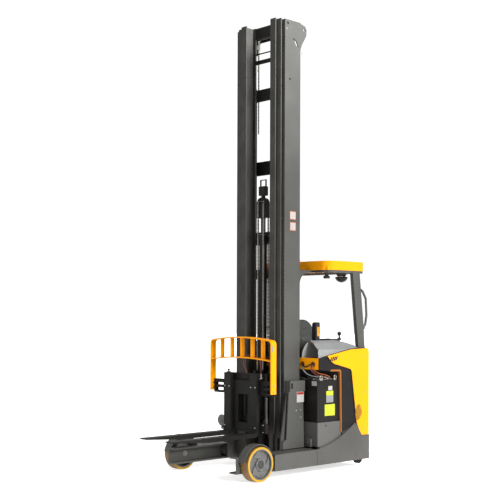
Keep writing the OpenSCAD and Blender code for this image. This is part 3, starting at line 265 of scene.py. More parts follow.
def cast_polyurethane():
    # Cast polyurethane tyre: waxy amber sides, the tread browned and scuffed where it has rolled
    material, tree, shader, place = new_material("polyurethane_cast", IOR=1.5, Specular_IOR_Level=0.4)
    turned_to = add_node(tree, "ShaderNodeSeparateXYZ", links={"Vector": add_node(
        tree, "ShaderNodeNewGeometry").outputs["Normal"]})
    side = add_node(tree, "ShaderNodeMath", {"operation": "ABSOLUTE"}, {}, {0: turned_to.outputs["Y"]}).outputs[0]
    turn = add_node(tree, "ShaderNodeMapRange", values={"From Min": 0.35, "From Max": 0.9},
                    links={"Value": side}).outputs["Result"]
    tread = mottled(tree, place, "#58401E", "#6E5026", 18, 6.0)
    face = mottled(tree, place, "#9A760A", "#A8800E", 60)
    tree.links.new(blended(tree, turn, tread, face), shader.inputs["Base Color"])
    tree.links.new(graded(tree, place, 0.4, 0.62, 25), shader.inputs["Roughness"])
    tree.links.new(grain(tree, place, 5, 0.3), shader.inputs["Normal"])
    return material


def moulded(name, low, high, rough_low, rough_high, grain_mm, depth_mm, specular=0.35):
    """Moulded plastic or rubber with a spark-eroded texture: matt, even, lit softly at a slant."""
    material, tree, shader, place = new_material(name, IOR=1.48, Specular_IOR_Level=specular)
    tree.links.new(mottled(tree, place, low, high, 200), shader.inputs["Base Color"])
    tree.links.new(graded(tree, place, rough_low, rough_high, 50), shader.inputs["Roughness"])
    tree.links.new(grain(tree, place, grain_mm, depth_mm), shader.inputs["Normal"])
    return material


def console_abs():
    # Grey console moulding: pale top and sides, and a front painted darker as shade
    material, tree, shader, place = new_material("abs_grey_textured_painted_shade", IOR=1.48, Specular_IOR_Level=0.35)
    facing = add_node(tree, "ShaderNodeSeparateXYZ", links={"Vector": add_node(
        tree, "ShaderNodeNewGeometry").outputs["True Normal"]}).outputs["X"]
    # Painted shade: faces turned to the front get the dark colour
    front = add_node(tree, "ShaderNodeMapRange", values={"From Min": 0.05, "From Max": 0.12},
                     links={"Value": facing}).outputs["Result"]
    pale = mottled(tree, place, "#727373", "#7A7B7B", 200)
    dark = mottled(tree, place, "#2A2A29", "#302F2E", 120)
    tree.links.new(blended(tree, front, pale, dark), shader.inputs["Base Color"])
    tree.links.new(graded(tree, place, 0.5, 0.62, 50), shader.inputs["Roughness"])
    tree.links.new(grain(tree, place, 5, 0.25), shader.inputs["Normal"])
    return material


def dark_abs():
    # Dark grey moulding of the cowl and roof fittings
    return moulded("abs_dark_grey_textured", "#262625", "#2D2D2B", 0.5, 0.64, 5, 0.3)


def black_abs():
    # Black moulding of the controls
    return moulded("abs_black_textured", "#161616", "#1D1D1D", 0.4, 0.54, 4, 0.2, 0.3)


def black_rubber():
    # Hose and cable jackets: dull black rubber with a soft edge light
    return moulded("rubber_black_moulded", "#131312", "#1A1A19", 0.5, 0.65, 3, 0.1, 0.25)


def red_jacket():
    # Red-brown cable jacket, chalky with age
    return moulded("cable_jacket_red", "#562116", "#64281A", 0.45, 0.6, 3, 0.1)


def orange_jacket():
    # Orange cable jacket
    return moulded("cable_jacket_orange", "#7A3A1A", "#86421E", 0.45, 0.6, 3, 0.1)


def grey_jacket():
    # Grey cable jacket
    return moulded("cable_jacket_grey", "#6A6B6C", "#787979", 0.45, 0.6, 3, 0.1)


def white_vinyl():
    # Blank white plate: printed vinyl with a faint gloss
    return moulded("vinyl_label_white", "#8C8A87", "#979592", 0.3, 0.42, 8, 0.02)


def lime_vinyl():
    # Blank yellow-green plate
    return moulded("vinyl_label_lime", "#949A16", "#A0A61A", 0.3, 0.42, 8, 0.02)


def red_vinyl():
    # Blank red field of a plate
    return moulded("vinyl_label_red", "#7A2018", "#8A261C", 0.3, 0.42, 8, 0.02)


def amber_vinyl():
    # Orange rim of a plate
    return moulded("vinyl_label_orange", "#9A4E12", "#A85816", 0.3, 0.42, 8, 0.02)


def amber_lens():
    # Amber acrylic lens: clear and glossy, with a pebbled back that breaks the light
    material, tree, shader, place = new_material("acrylic_lens_amber", IOR=1.49, Roughness=0.12)
    tree.links.new(mottled(tree, place, "#C2660E", "#E0861A", 9), shader.inputs["Base Color"])
    tree.links.new(grain(tree, place, 6, 0.6), shader.inputs["Normal"])
    return material


def clear_lens():
    # Frosted lamp glass: pale, smooth and faintly milky
    material, tree, shader, place = new_material("lamp_glass_frosted", IOR=1.5, Roughness=0.2)
    tree.links.new(mottled(tree, place, "#A8ABAD", "#BFC2C4", 12), shader.inputs["Base Color"])
    tree.links.new(grain(tree, place, 5, 0.4), shader.inputs["Normal"])
    return material


def red_lens():
    # Red reflector: moulded prisms under a smooth face
    material, tree, shader, place = new_material("acrylic_reflector_red", IOR=1.49, Roughness=0.15)
    tree.links.new(mottled(tree, place, "#7E120C", "#A01A12", 6), shader.inputs["Base Color"])
    tree.links.new(grain(tree, place, 4, 0.5), shader.inputs["Normal"])
    return material


def ribbed_mat():
    # Moulded rubber mat: black, with ribs along the bay
    material, tree, shader, place = new_material("rubber_mat_ribbed", IOR=1.5, Roughness=0.75,
                                                 Specular_IOR_Level=0.3)
    tree.links.new(mottled(tree, place, "#1A1A19", "#242322", 80), shader.inputs["Base Color"])
    ribs = add_node(tree, "ShaderNodeTexWave", {"bands_direction": "Y"}, {"Scale": per_metre(24) / 20},
                    {"Vector": place})
    bump = add_node(tree, "ShaderNodeBump", values={"Strength": 0.8, "Distance": 2 * MM},
                    links={"Height": ribs.outputs["Fac"]})
    tree.links.new(bump.outputs["Normal"], shader.inputs["Normal"])
    return material


def pad_vinyl():
    # Grained vinyl over foam: dark grey with a fine leather grain and a soft sheen
    material, tree, shader, place = new_material("vinyl_grained", IOR=1.45, Specular_IOR_Level=0.35)
    tree.links.new(mottled(tree, place, "#2D2D2C", "#343433", 120), shader.inputs["Base Color"])
    tree.links.new(graded(tree, place, 0.45, 0.6, 40), shader.inputs["Roughness"])
    cells = add_node(tree, "ShaderNodeTexVoronoi", {"feature": "DISTANCE_TO_EDGE"}, {"Scale": per_metre(5)},
                     {"Vector": place})
    bump = add_node(tree, "ShaderNodeBump", values={"Strength": 0.5, "Distance": 0.4 * MM},
                    links={"Height": cells.outputs["Distance"]})
    tree.links.new(bump.outputs["Normal"], shader.inputs["Normal"])
    return material


# Which finish each node of the frame carries
FINISHES = {
    yellow_powder_coat: ["side_panels", "guard_roof", "backrest", "front_header"],
    charcoal_powder_coat: ["leg_left", "leg_right", "wheel_arches", "main_frame", "side_skirts", "guard_pillars",
                           "reach_frame"],
    rail_coat_painted_light: ["outer_rails", "middle_rails", "inner_rails"],
    black_powder_coat: ["dark_panels", "power_housing", "outer_crossbars", "middle_crossbars", "inner_crossbars",
                        "lift_barrels", "free_lift_barrel", "free_lift_head", "lift_frame", "tilt_frame",
                        "fork_bars", "fork_left", "fork_right", "drive_unit", "stabiliser_feet"],
    battery_steel_coat: ["battery"],
    tray_powder_coat: ["battery_tray", "grab_handle"],
    hard_chrome: ["lift_rods", "tilt_rod"],
    bare_steel: ["load_axles"],
    cast_hub: ["load_hub_left", "load_hub_right", "drive_hub"],
    cast_polyurethane: ["load_tyre_left", "load_tyre_right", "drive_tyre"],
    console_abs: ["console"],
    dark_abs: ["front_cowl", "roof_fittings"],
    black_abs: ["controls"],
    ribbed_mat: ["bay_floor"],
    pad_vinyl: ["back_pad"],
}
# The material of each finish, made once
MADE = {}


def finish_of(maker):
    """The material of a finish, made once."""
    if maker not in MADE:
        MADE[maker] = maker()
    return MADE[maker]


# Solids that the pieces are built from

class Form:
    """One piece of the truck, put together from simple solids in the truck's millimetres."""

    def __init__(self):
        self.mesh = bmesh.new()

    def block(self, low, high, edge=1.5, steps=2):
        """A box with rounded edges."""
        low, high = at(*low), at(*high)
        new = bmesh.ops.create_cube(self.mesh, size=1)["verts"]
        size = high - low
        bmesh.ops.scale(self.mesh, vec=[abs(c) for c in size], verts=new)
        bmesh.ops.translate(self.mesh, vec=(low + high) / 2, verts=new)
        if edge:
            edges = list({e for v in new for e in v.link_edges})
            bmesh.ops.bevel(self.mesh, geom=edges, offset=edge * MM, segments=steps, profile=0.5,
                            affect="EDGES", clamp_overlap=True)
        return self

    def turned(self, centre, axis, profile, sides=32, phase=0.0):
        """A solid of revolution: profile is a list of (distance along the axis, radius)."""
        turn = Vector(axis).to_track_quat("Z", "Y").to_matrix()
        middle = at(*centre)
        rings = []
        for along, radius in profile:
            if radius <= 0:
                rings.append([self.mesh.verts.new(middle + turn @ Vector((0, 0, along * MM)))])
                continue
            rings.append([self.mesh.verts.new(middle + turn @ Vector((
                radius * MM * math.cos(math.tau * k / sides + phase),
                radius * MM * math.sin(math.tau * k / sides + phase), along * MM))) for k in range(sides)])
        for ring, flip in ((rings[0], True), (rings[-1], False)):
            if len(ring) > 1:
                self.mesh.faces.new(ring[::-1] if flip else ring)
        for lower, upper in zip(rings, rings[1:]):
            for k in range(sides):
                n = (k + 1) % sides
                corners = [lower[k % len(lower)], lower[n % len(lower)], upper[n % len(upper)], upper[k % len(upper)]]
                corners = list(dict.fromkeys(corners))
                if len(corners) > 2:
                    self.mesh.faces.new(corners)
        return self

    def disc(self, centre, axis, radius, depth, edge=1.0, sides=32):
        """A short cylinder from its centre face outwards, with chamfered rims."""
        return self.turned(centre, axis, [(0, radius - edge), (edge, radius), (depth - edge, radius),
                                          (depth, radius - edge)], sides)

    def bolt(self, centre, axis, across=9.0, head=6.0):
        """A hexagon head on its washer."""
        self.disc(centre, axis, across * 1.15, 2.0, 0.5, 20)
        turn = Vector(axis).normalized()
        base = Vector(centre) + turn * 2.0
        return self.turned(base, axis, [(0, across), (head - 1.2, across), (head, across * 0.84)], 6)

    def ring(self, centre, axis, radius, thick, sides=32, around=10):
        """A round ring of wire or a seal."""
        turn = Vector(axis).to_track_quat("Z", "Y").to_matrix()
        middle = at(*centre)
        grid = []
        for k in range(sides):
            a = math.tau * k / sides
            grid.append([self.mesh.verts.new(middle + turn @ (Vector((
                math.cos(a) * (radius + thick * math.cos(math.tau * j / around)),
                math.sin(a) * (radius + thick * math.cos(math.tau * j / around)),
                thick * math.sin(math.tau * j / around))) * MM)) for j in range(around)])
        for k in range(sides):
            for j in range(around):
                m, n = (k + 1) % sides, (j + 1) % around
                self.mesh.faces.new([grid[k][j], grid[m][j], grid[m][n], grid[k][n]])
        return self

    def tube(self, points, radius, sides=10, steps=6):
        """A round bar or hose along a smooth line through the points."""
        line = [at(*p) for p in smooth_line(points, steps)]
        side = None
        rings = []
        for i, point in enumerate(line):
            ahead = (line[min(i + 1, len(line) - 1)] - line[max(i - 1, 0)]).normalized()
            if side is None:
                side = ahead.orthogonal().normalized()
            side = (side - ahead * side.dot(ahead)).normalized()
            up = ahead.cross(side)
            rings.append([self.mesh.verts.new(point + (side * math.cos(math.tau * k / sides)
                          + up * math.sin(math.tau * k / sides)) * radius * MM) for k in range(sides)])
        self.mesh.faces.new(rings[0][::-1])
        self.mesh.faces.new(rings[-1])
        for lower, upper in zip(rings, rings[1:]):
            for k in range(sides):
                n = (k + 1) % sides
                self.mesh.faces.new([lower[k], lower[n], upper[n], upper[k]])
        return self

    def plate(self, outline, across, low, high, edge=0.0):
        """A flat plate: outline in the plane across the axis, which is "X", "Y" or "Z"."""
        place = {"X": lambda a, b, t: at(t, a, b), "Y": lambda a, b, t: at(a, t, b), "Z": lambda a, b, t: at(a, b, t)}[across]
        lower = [self.mesh.verts.new(place(a, b, low)) for a, b in outline]
        upper = [self.mesh.verts.new(place(a, b, high)) for a, b in outline]
        faces = [self.mesh.faces.new(lower), self.mesh.faces.new(upper)]
        count = len(outline)
        for k in range(count):
            n = (k + 1) % count
            faces.append(self.mesh.faces.new([lower[k], lower[n], upper[n], upper[k]]))
        bmesh.ops.recalc_face_normals(self.mesh, faces=faces)
        if edge:
            rims = list(faces[0].edges) + list(faces[1].edges)
            bmesh.ops.bevel(self.mesh, geom=rims, offset=edge * MM, segments=2, profile=0.5, affect="EDGES",
                            clamp_overlap=True)
        return self

    def leaned(self, degrees, axis, centre):
        """Turns everything built so far."""
        bmesh.ops.rotate(self.mesh, cent=at(*centre), matrix=Matrix.Rotation(math.radians(degrees), 3, axis),
                         verts=self.mesh.verts)
        return self

    def piece(self, name, finish, body, sharp=35):
        """Ends the build: one object with its finish, riding on a body."""
        bmesh.ops.recalc_face_normals(self.mesh, faces=self.mesh.faces)
        for face in self.mesh.faces:
            face.smooth = True
        limit = math.radians(sharp)
        for edge in self.mesh.edges:
            if len(edge.link_faces) == 2:
                edge.smooth = edge.calc_face_angle(0) < limit
        data = bpy.data.meshes.new(name)
        self.mesh.to_mesh(data)
        self.mesh.free()
        data.materials.append(finish_of(finish))
        made = bpy.data.objects.new(name, data)
        bpy.context.scene.collection.objects.link(made)
        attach(made, body)
        return made


def smooth_line(points, steps):
    """Points of a smooth line through the given ones."""
    if len(points) < 3 or steps < 2:
        return [Vector(p) for p in points]
    ends = [Vector(points[0]) * 2 - Vector(points[1]), *map(Vector, points),
            Vector(points[-1]) * 2 - Vector(points[-2])]
    line = []
    for a, b, c, d in zip(ends, ends[1:], ends[2:], ends[3:]):
        for k in range(steps):
            t = k / steps
            line.append(0.5 * ((2 * b) + (c - a) * t + (2 * a - 5 * b + 4 * c - d) * t * t
                               + (3 * b - a - 3 * c + d) * t ** 3))
    line.append(Vector(points[-1]))
    return line


def height_on(node, x, y):
    """How high a node's top surface stands at a place, in millimetres."""
    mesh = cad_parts[node].data
    tree = BVHTree.FromPolygons([v.co for v in mesh.vertices], [tuple(f.vertices) for f in mesh.polygons])
    hit = tree.ray_cast(at(x, y, 6000), -Z)[0]
    if hit is None:
        raise RuntimeError(f"{node} has no surface at {x}, {y}")
    return hit.z / MM


def arc(cx, cy, r, start, end, steps):
    """Points of an arc in a plane."""
    return [(cx + r * math.cos(math.radians(start + (end - start) * k / steps)),
             cy + r * math.sin(math.radians(start + (end - start) * k / steps))) for k in range(steps + 1)]


def hung_cable(name, points, diameter, finish, body):
    """A cable between two fittings."""
    line = [at(*p) for p in smooth_line(points, 8)]
    curve = bpy.data.curves.new(name, "CURVE")
    curve.dimensions = "3D"
    curve.bevel_depth = diameter * MM / 2
    curve.bevel_resolution = 3
    curve.use_fill_caps = True
    spline = curve.splines.new("POLY")
    spline.points.add(len(line) - 1)
    for point, place in zip(spline.points, line):
        point.co = (*place, 1.0)
    curve.materials.append(finish_of(finish))
    cable = bpy.data.objects.new(name, curve)
    bpy.context.scene.collection.objects.link(cable)
    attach(cable, body)
    return cable


# The soft pad

PAD_REAR, PAD_FRONT, PAD_LOW, PAD_TOP = -1492.0, -1230.0, 1000.0, 1572.0
PAD_BACK, PAD_FACE = -134.7, -49.7


def pad_line(inset):
    """The pad's outline, drawn in by an inset, as (x, z) points."""
    r, foot = 180 - inset * 0.6, 50 - inset * 0.3
    near = 80 - inset * 0.4
    x0, x1, low, top = PAD_REAR + inset, PAD_FRONT - inset, PAD_LOW + inset, PAD_TOP - inset
    return (arc(x0 + foot, low + foot, foot, 270, 180, 8) + arc(x0 + r, top - r, r, 180, 90, 16)
            + arc(x1 - near, top - near, near, 90, 0, 16) + arc(x1 - foot, low + foot, foot, 0, -90, 8))


def evened(outline, count):
    """The closed outline again, with its points evenly spaced."""
    closed = [Vector((*p, 0)) for p in outline] + [Vector((*outline[0], 0))]
    runs = [(b - a).length for a, b in zip(closed, closed[1:])]
    total, points, k, gone = sum(runs), [], 0, 0.0
    for n in range(count):
        want = total * n / count
        while gone + runs[k] < want:
            gone += runs[k]
            k += 1
        points.append(closed[k].lerp(closed[k + 1], (want - gone) / runs[k]))
    return [(p.x, p.y) for p in points]


def cushion_mesh(swell):
    """Closed skin of the pad: flat back, sides that pull in at the seam, crowned face with sewn channels."""
    mesh = bmesh.new()
    count = 120
    layers = [(9, 2), (2, 12), (0.5, 34), (2.5, 44), (0.5, 54), (3, 70), (10, 78), (22, 80.5), (38, 81.5),
              (56, 82), (76, 82.3), (98, 82.5)]
    rings = []
    for inset, depth in layers:
        ring = []
        for x, z in evened(pad_line(inset), count):
            # The face is pressed in along two sewn channels
            y = PAD_BACK + depth
            if depth > 76:
                for seam in (PAD_LOW + 210, PAD_LOW + 385):
                    y -= 7.0 * math.exp(-((z - seam) / 9.0) ** 2)
                y -= 3.0 * swell * (noise.noise(Vector((x, z, 0)) * 0.02) + 0.4)
            ring.append(mesh.verts.new(at(x, y, z)))
        rings.append(ring)
    mesh.faces.new(rings[0][::-1])
    for lower, upper in zip(rings, rings[1:]):
        for k in range(count):
            n = (k + 1) % count
            mesh.faces.new([lower[k], lower[n], upper[n], upper[k]])
    # The face's middle is filled with triangles
    bmesh.ops.triangle_fill(mesh, use_beauty=True, edges=[e for e in mesh.edges if len(e.link_faces) == 1])
    bmesh.ops.recalc_face_normals(mesh, faces=mesh.faces)
    return mesh


class TRUCK_OT_back_pad(bpy.types.Operator):
    """Make the stitched back pad, its piping and its sewn channels"""

    bl_idname = "truck.back_pad"
    bl_label = "Back pad"

    def execute(self, context):
        mesh = cushion_mesh(1.0)
        data = bpy.data.meshes.new("pad_cushion")
        for face in mesh.faces:
            face.smooth = True
        mesh.to_mesh(data)
        mesh.free()
        data.materials.append(finish_of(pad_vinyl))
        pad = bpy.data.objects.new("pad_cushion", data)
        context.scene.collection.objects.link(pad)
        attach(pad, "chassis")
        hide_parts("back_pad")
        rim = evened(pad_line(3.0), 90)
        for name, y in (("pad_piping_front", PAD_BACK + 74), ("pad_piping_back", PAD_BACK + 8)):
            piping = Form().tube([(x, y, z) for x, z in rim + rim[:1]], 2.6, 8, 2).piece(name, black_abs, "chassis")
        return {"FINISHED"}


# Pieces of the wheels

HUB_FACE = 628.5
AXLE_Z = 171.5


class TRUCK_OT_load_wheels(bpy.types.Operator):
    """Dress the load wheels with caps, bolts, seals and moulding lines"""

    bl_idname = "truck.load_wheels"
    bl_label = "Load wheels"

    def execute(self, context):
        for side, name in ((1, "left"), (-1, "right")):
            body = "load_wheel_" + name
            out = Y * side
            cap = Form().turned((0, side * HUB_FACE, AXLE_Z), out, [(-2, 43), (1.2, 43), (2.2, 41), (2.6, 30), (3.6, 26),
                                                                    (3.8, 0)], 40)
            cap.piece("wheel_cap_" + name, dark_abs, body)
            bolts = Form()
            for k in range(6):
                a = math.tau * k / 6 + 0.3
                bolts.disc((51.5 * math.cos(a), side * (HUB_FACE - 0.5), AXLE_Z + 51.5 * math.sin(a)), out, 4.6, 3.6, 0.8, 6)
            bolts.piece("wheel_cap_bolts_" + name, zinc_plate, body)
            lines = Form()
            for radius, y, thick in ((150.5, 630.6, 1.4), (158.5, 631.4, 0.8), (118.0, 611.2, 1.6), (62.5, 611.4, 1.8)):
                lines.ring((0, side * y, AXLE_Z), out, radius, thick, 96, 8)
            lines.piece("wheel_seams_" + name, cast_hub, body)
            worn = Form()
            for k in range(18):
                a = math.tau * k / 18 + 0.13 * (k % 3)
                across = side * (576.5 + 30 * math.sin(5.1 * k))
                lump = Vector((math.cos(a), 0, math.sin(a)))
                worn.turned(Vector((0, across, AXLE_Z)) + lump * 169.6, lump, [(0, 7), (1.2, 5), (1.6, 0)], 9, k)
            worn.piece("tyre_scuffs_" + name, cast_polyurethane, body)
            # Dark lining under the arch, over the tyre
            lining = Form()
            inner, outer = 178.5, 187.0
            lining.plate(arc(0, AXLE_Z, outer, 12, 172, 32) + arc(0, AXLE_Z, inner, 172, 12, 32), "Y",
                         min(side * 522, side * 604), max(side * 522, side * 604))
            lining.plate(arc(0, AXLE_Z, outer, 12, 172, 32) + arc(0, AXLE_Z, 132, 172, 12, 32), "Y",
                         min(side * 516, side * 518), max(side * 516, side * 518))
            lining.piece("arch_lining_" + name, black_rubber, "chassis")
        return {"FINISHED"}


# Pieces of the mast

SHEAVE_Z = 2790.0
FREE_X = -639.5
CHAIN_PITCH = 19.05


def link_plate(form, start, end, y, thick, high):
    """One figure-of-eight plate between two pins."""
    run = end - start
    along, size = run.normalized(), run.length
    lift = Vector((-along.z, 0, along.x))
    r = high / 2
    shape = []
    for a in range(-70, 71, 35):
        shape.append((size + r * math.cos(math.radians(a)), r * math.sin(math.radians(a))))
    shape.append((size / 2, r * 0.72))
    for a in range(110, 251, 35):
        shape.append((r * math.cos(math.radians(a)), r * math.sin(math.radians(a))))
    shape.append((size / 2, -r * 0.72))
    sides = []
    for off in (-thick / 2, thick / 2):
        sides.append([form.mesh.verts.new(at(*(start + along * p + lift * q + Y * (y + off)))) for p, q in shape])
    form.mesh.faces.new(sides[0])
    form.mesh.faces.new(sides[1][::-1])
    for k in range(len(shape)):
        n = (k + 1) % len(shape)
        form.mesh.faces.new([sides[0][k], sides[1][k], sides[1][n], sides[0][n]])


def leaf_chain(form, path, y, width=16.0, high=15.0):
    """A leaf chain along a path in the plane across Y: plates on pins, inner and outer by turns."""
    gone, knots, k = 0.0, [Vector((path[0][0], 0, path[0][1]))], 0
    points = [Vector((px, 0, pz)) for px, pz in path]
    total = sum((b - a).length for a, b in zip(points, points[1:]))
    steps = max(2, int(total / CHAIN_PITCH))
    for n in range(1, steps + 1):
        want = CHAIN_PITCH * n
        while k < len(points) - 2 and gone + (points[k + 1] - points[k]).length < want:
            gone += (points[k + 1] - points[k]).length
            k += 1
        run = points[k + 1] - points[k]
        knots.append(points[k] + run.normalized() * (want - gone))
    for n, (a, b) in enumerate(zip(knots, knots[1:])):
        offsets = (-width / 2 + 1.6, width / 2 - 1.6) if n % 2 else (-width / 6, width / 6)
        for off in offsets:
            link_plate(form, a, b, y + off, 3.0, high)
    for knot in knots:
        form.turned((knot.x, y - width / 2 - 1, knot.z), Y, [(0, 3.2), (width + 2, 3.2)], 6)
    return form


class TRUCK_OT_chains(bpy.types.Operator):
    """String the lift chains over their sheaves"""

    bl_idname = "truck.chains"
    bl_label = "Chains"

    def execute(self, context):
        for side, name in ((1, "left"), (-1, "right")):
            y = 40 * side
            over = [(FREE_X + 36 * math.cos(math.radians(a)), SHEAVE_Z + 36 * math.sin(math.radians(a)))
                    for a in range(0, 181, 15)]
            leaf_chain(Form(), over + [(FREE_X - 36, 1110)], y).piece("carriage_chain_back_" + name, chain_steel,
                                                                     "free_lift_crosshead")
            fall = leaf_chain(Form(), [(FREE_X + 36, SHEAVE_Z), (FREE_X + 36, 1036)], y).piece(
                "carriage_chain_front_" + name, chain_steel, "free_lift_crosshead")
            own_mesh(fall)
            leaf_chain(Form(), [(FREE_X + 36, 1205), (FREE_X + 36, 1036)], y).piece("carriage_chain_end_" + name,
                                                                                   chain_steel, "lift_carriage")
            anchor = Form().block((-613, y - 11, 990), (-549, y + 11, 1006), 2)
            anchor.turned((FREE_X + 36, y, 1006), Z, [(0, 7), (22, 7), (24, 9), (34, 9), (36, 5)], 16)
            anchor.turned((FREE_X + 36, y, 976), Z, [(0, 11), (14, 11)], 6)
            anchor.piece("carriage_chain_anchor_" + name, black_powder_coat, "lift_carriage")
            # The upper chains run over sheaves on the middle stage
            y = 230 * side
            wheel_x, wheel_z, radius = -767.0, 4440.0, 22.0
            over = [(wheel_x + radius * math.cos(math.radians(a)), wheel_z + radius * math.sin(math.radians(a)))
                    for a in range(0, 181, 20)]
            leaf_chain(Form(), over + [(wheel_x - radius, 3560)], y, 14, 12).piece("upper_chain_back_" + name,
                                                                                  chain_steel, "middle_stage")
            fall = leaf_chain(Form(), [(wheel_x + radius, wheel_z), (wheel_x + radius, 260)], y, 14, 12).piece(
                "upper_chain_front_" + name, chain_steel, "middle_stage")
            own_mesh(fall)
            sheave = Form()
            sheave.turned((wheel_x, y - 11, wheel_z), Y, [(0, radius + 4), (3, radius + 4), (4, radius - 4), (18, radius - 4),
                                                          (19, radius + 4), (22, radius + 4)], 36)
            sheave.turned((wheel_x, y - 15, wheel_z), Y, [(0, 8), (30, 8)], 16)
            sheave.piece("upper_sheave_" + name, bare_steel, "middle_stage")
        return {"FINISHED"}


class TRUCK_OT_mast_fittings(bpy.types.Operator):
    """Add the mast's plates, plugs, hoses, seals and welds"""

    bl_idname = "truck.mast_fittings"
    bl_label = "Mast fittings"

    def execute(self, context):
        out = 358.0
        for side, name in ((1, "left"), (-1, "right")):
            face = side * out
            plugs = Form().disc((-666, face, 4054), Y * side, 11, 2.5, 1)
            for x, z in ((-844, 4362), (-844, 4338)):
                plugs.disc((x, face, z), Y * side, 5, 2.5, 0.8, 12)
            for z in (240, 640):
                plugs.bolt((-700, face, z), Y * side, 8, 5)
            plugs.piece("mast_plugs_" + name, black_abs, "reach_carriage")
            stitches = Form()
            for k in range(22):
                z = 2287 - k * 38.5
                stitches.block((-602.4, min(face, face + side * 1.2), z - 11), (-599.4, max(face, face + side * 1.2), z), 0.5, 1)
            stitches.piece("rail_weld_marks_" + name, zinc_plate, "reach_carriage")
            flags = Form()
            for low, high in ((2606, 2692), (2491, 2579)):
                flags.block((-761, min(face, face + side * 1.0), low), (-672, max(face, face + side * 1.0), high), 0.3, 1)
            flags.piece("mast_plate_rims_" + name, amber_vinyl, "reach_carriage")
            fields = Form()
            for low, high in ((2606, 2692), (2491, 2579)):
                fields.block((-755, min(face, face + side * 1.5), low + 6), (-678, max(face, face + side * 1.5), high - 6), 0.3, 1)
            fields.block((-626, min(face, face + side * 1.2), 4562), (-612, max(face, face + side * 1.2), 4580), 0.3, 1)
            fields.piece("mast_plate_fields_" + name, white_vinyl, "reach_carriage")
        # Hose pulley below the head on the far side, with its fork and rod
        pulley = Form()
        pulley.turned((-760, -219, 4563), Y, [(0, 34), (4, 34), (5, 27), (17, 27), (18, 34), (22, 34)], 40)
        pulley.piece("hose_pulley", black_abs, "middle_stage")
        fork = Form()
        for y in (-224, -194):
            fork.plate([(-774, 4470), (-746, 4470), (-746, 4580), (-752, 4588), (-768, 4588), (-774, 4580)], "Y", y, y + 4, 0.8)
        fork.block((-774, -224, 4462), (-746, -190, 4472), 1.5)
        fork.disc((-760, -226, 4563), Y, 7, 40, 1, 16)
        fork.turned((-760, -207, 4240), Z, [(0, 9), (20, 9), (21, 6), (222, 6)], 16)
        fork.piece("hose_pulley_fork", zinc_plate, "middle_stage")
        # Hoses of the carriage, clipped along the free-lift cylinder
        hoses = Form()
        for y, r in ((70, 6.5), (86, 6.5), (-72, 6.5)):
            hoses.tube([(-668, y, 2470), (-668, y, 1900), (-668, y + 1, 1400), (-668, y, 330)], r, 10, 3)
        hoses.piece("carriage_hoses", red_jacket, "inner_stage")
        clips = Form()
        for z in (2440, 1960, 1480, 1000, 520):
            clips.block((-676, 60, z), (-660, 96, z + 18), 2)
            clips.block((-676, -82, z), (-660, -62, z + 18), 2)
            clips.block((-666, 38, z + 2), (-659, 62, z + 16), 1)
            clips.block((-666, -64, z + 2), (-659, -38, z + 16), 1)
        clips.piece("hose_clips", zinc_plate, "inner_stage")
        # Hood over the chain sheaves of the crosshead
        arch = [(-60, 2640), (-60, 2795)] + arc(0, 2795, 60, 180, 0, 16)[1:-1] + [(60, 2795), (60, 2640), (52, 2640),
                (52, 2795)] + arc(0, 2795, 52, 0, 180, 16)[1:-1] + [(-52, 2795), (-52, 2640)]
        hood = Form().plate(arch, "X", -674, -602)
        hood.piece("crosshead_hood", black_powder_coat, "free_lift_crosshead")
        seals = Form().ring((FREE_X, 0, 2467), Z, 27.5, 3, 40, 10)
        seals.turned((FREE_X, 0, 2465), Z, [(0, 44), (3, 44), (6, 30)], 48)
        seals.piece("cylinder_wiper", bare_steel, "inner_stage")
        marks = Form()
        for side in SIDES:
            marks.block((-593.5, side * 306, 2606), (-592.7, side * 316, 2628), 0.3, 1)
        marks.piece("rail_marks", white_vinyl, "reach_carriage")
        return {"FINISHED"}


# Pieces of the carriage

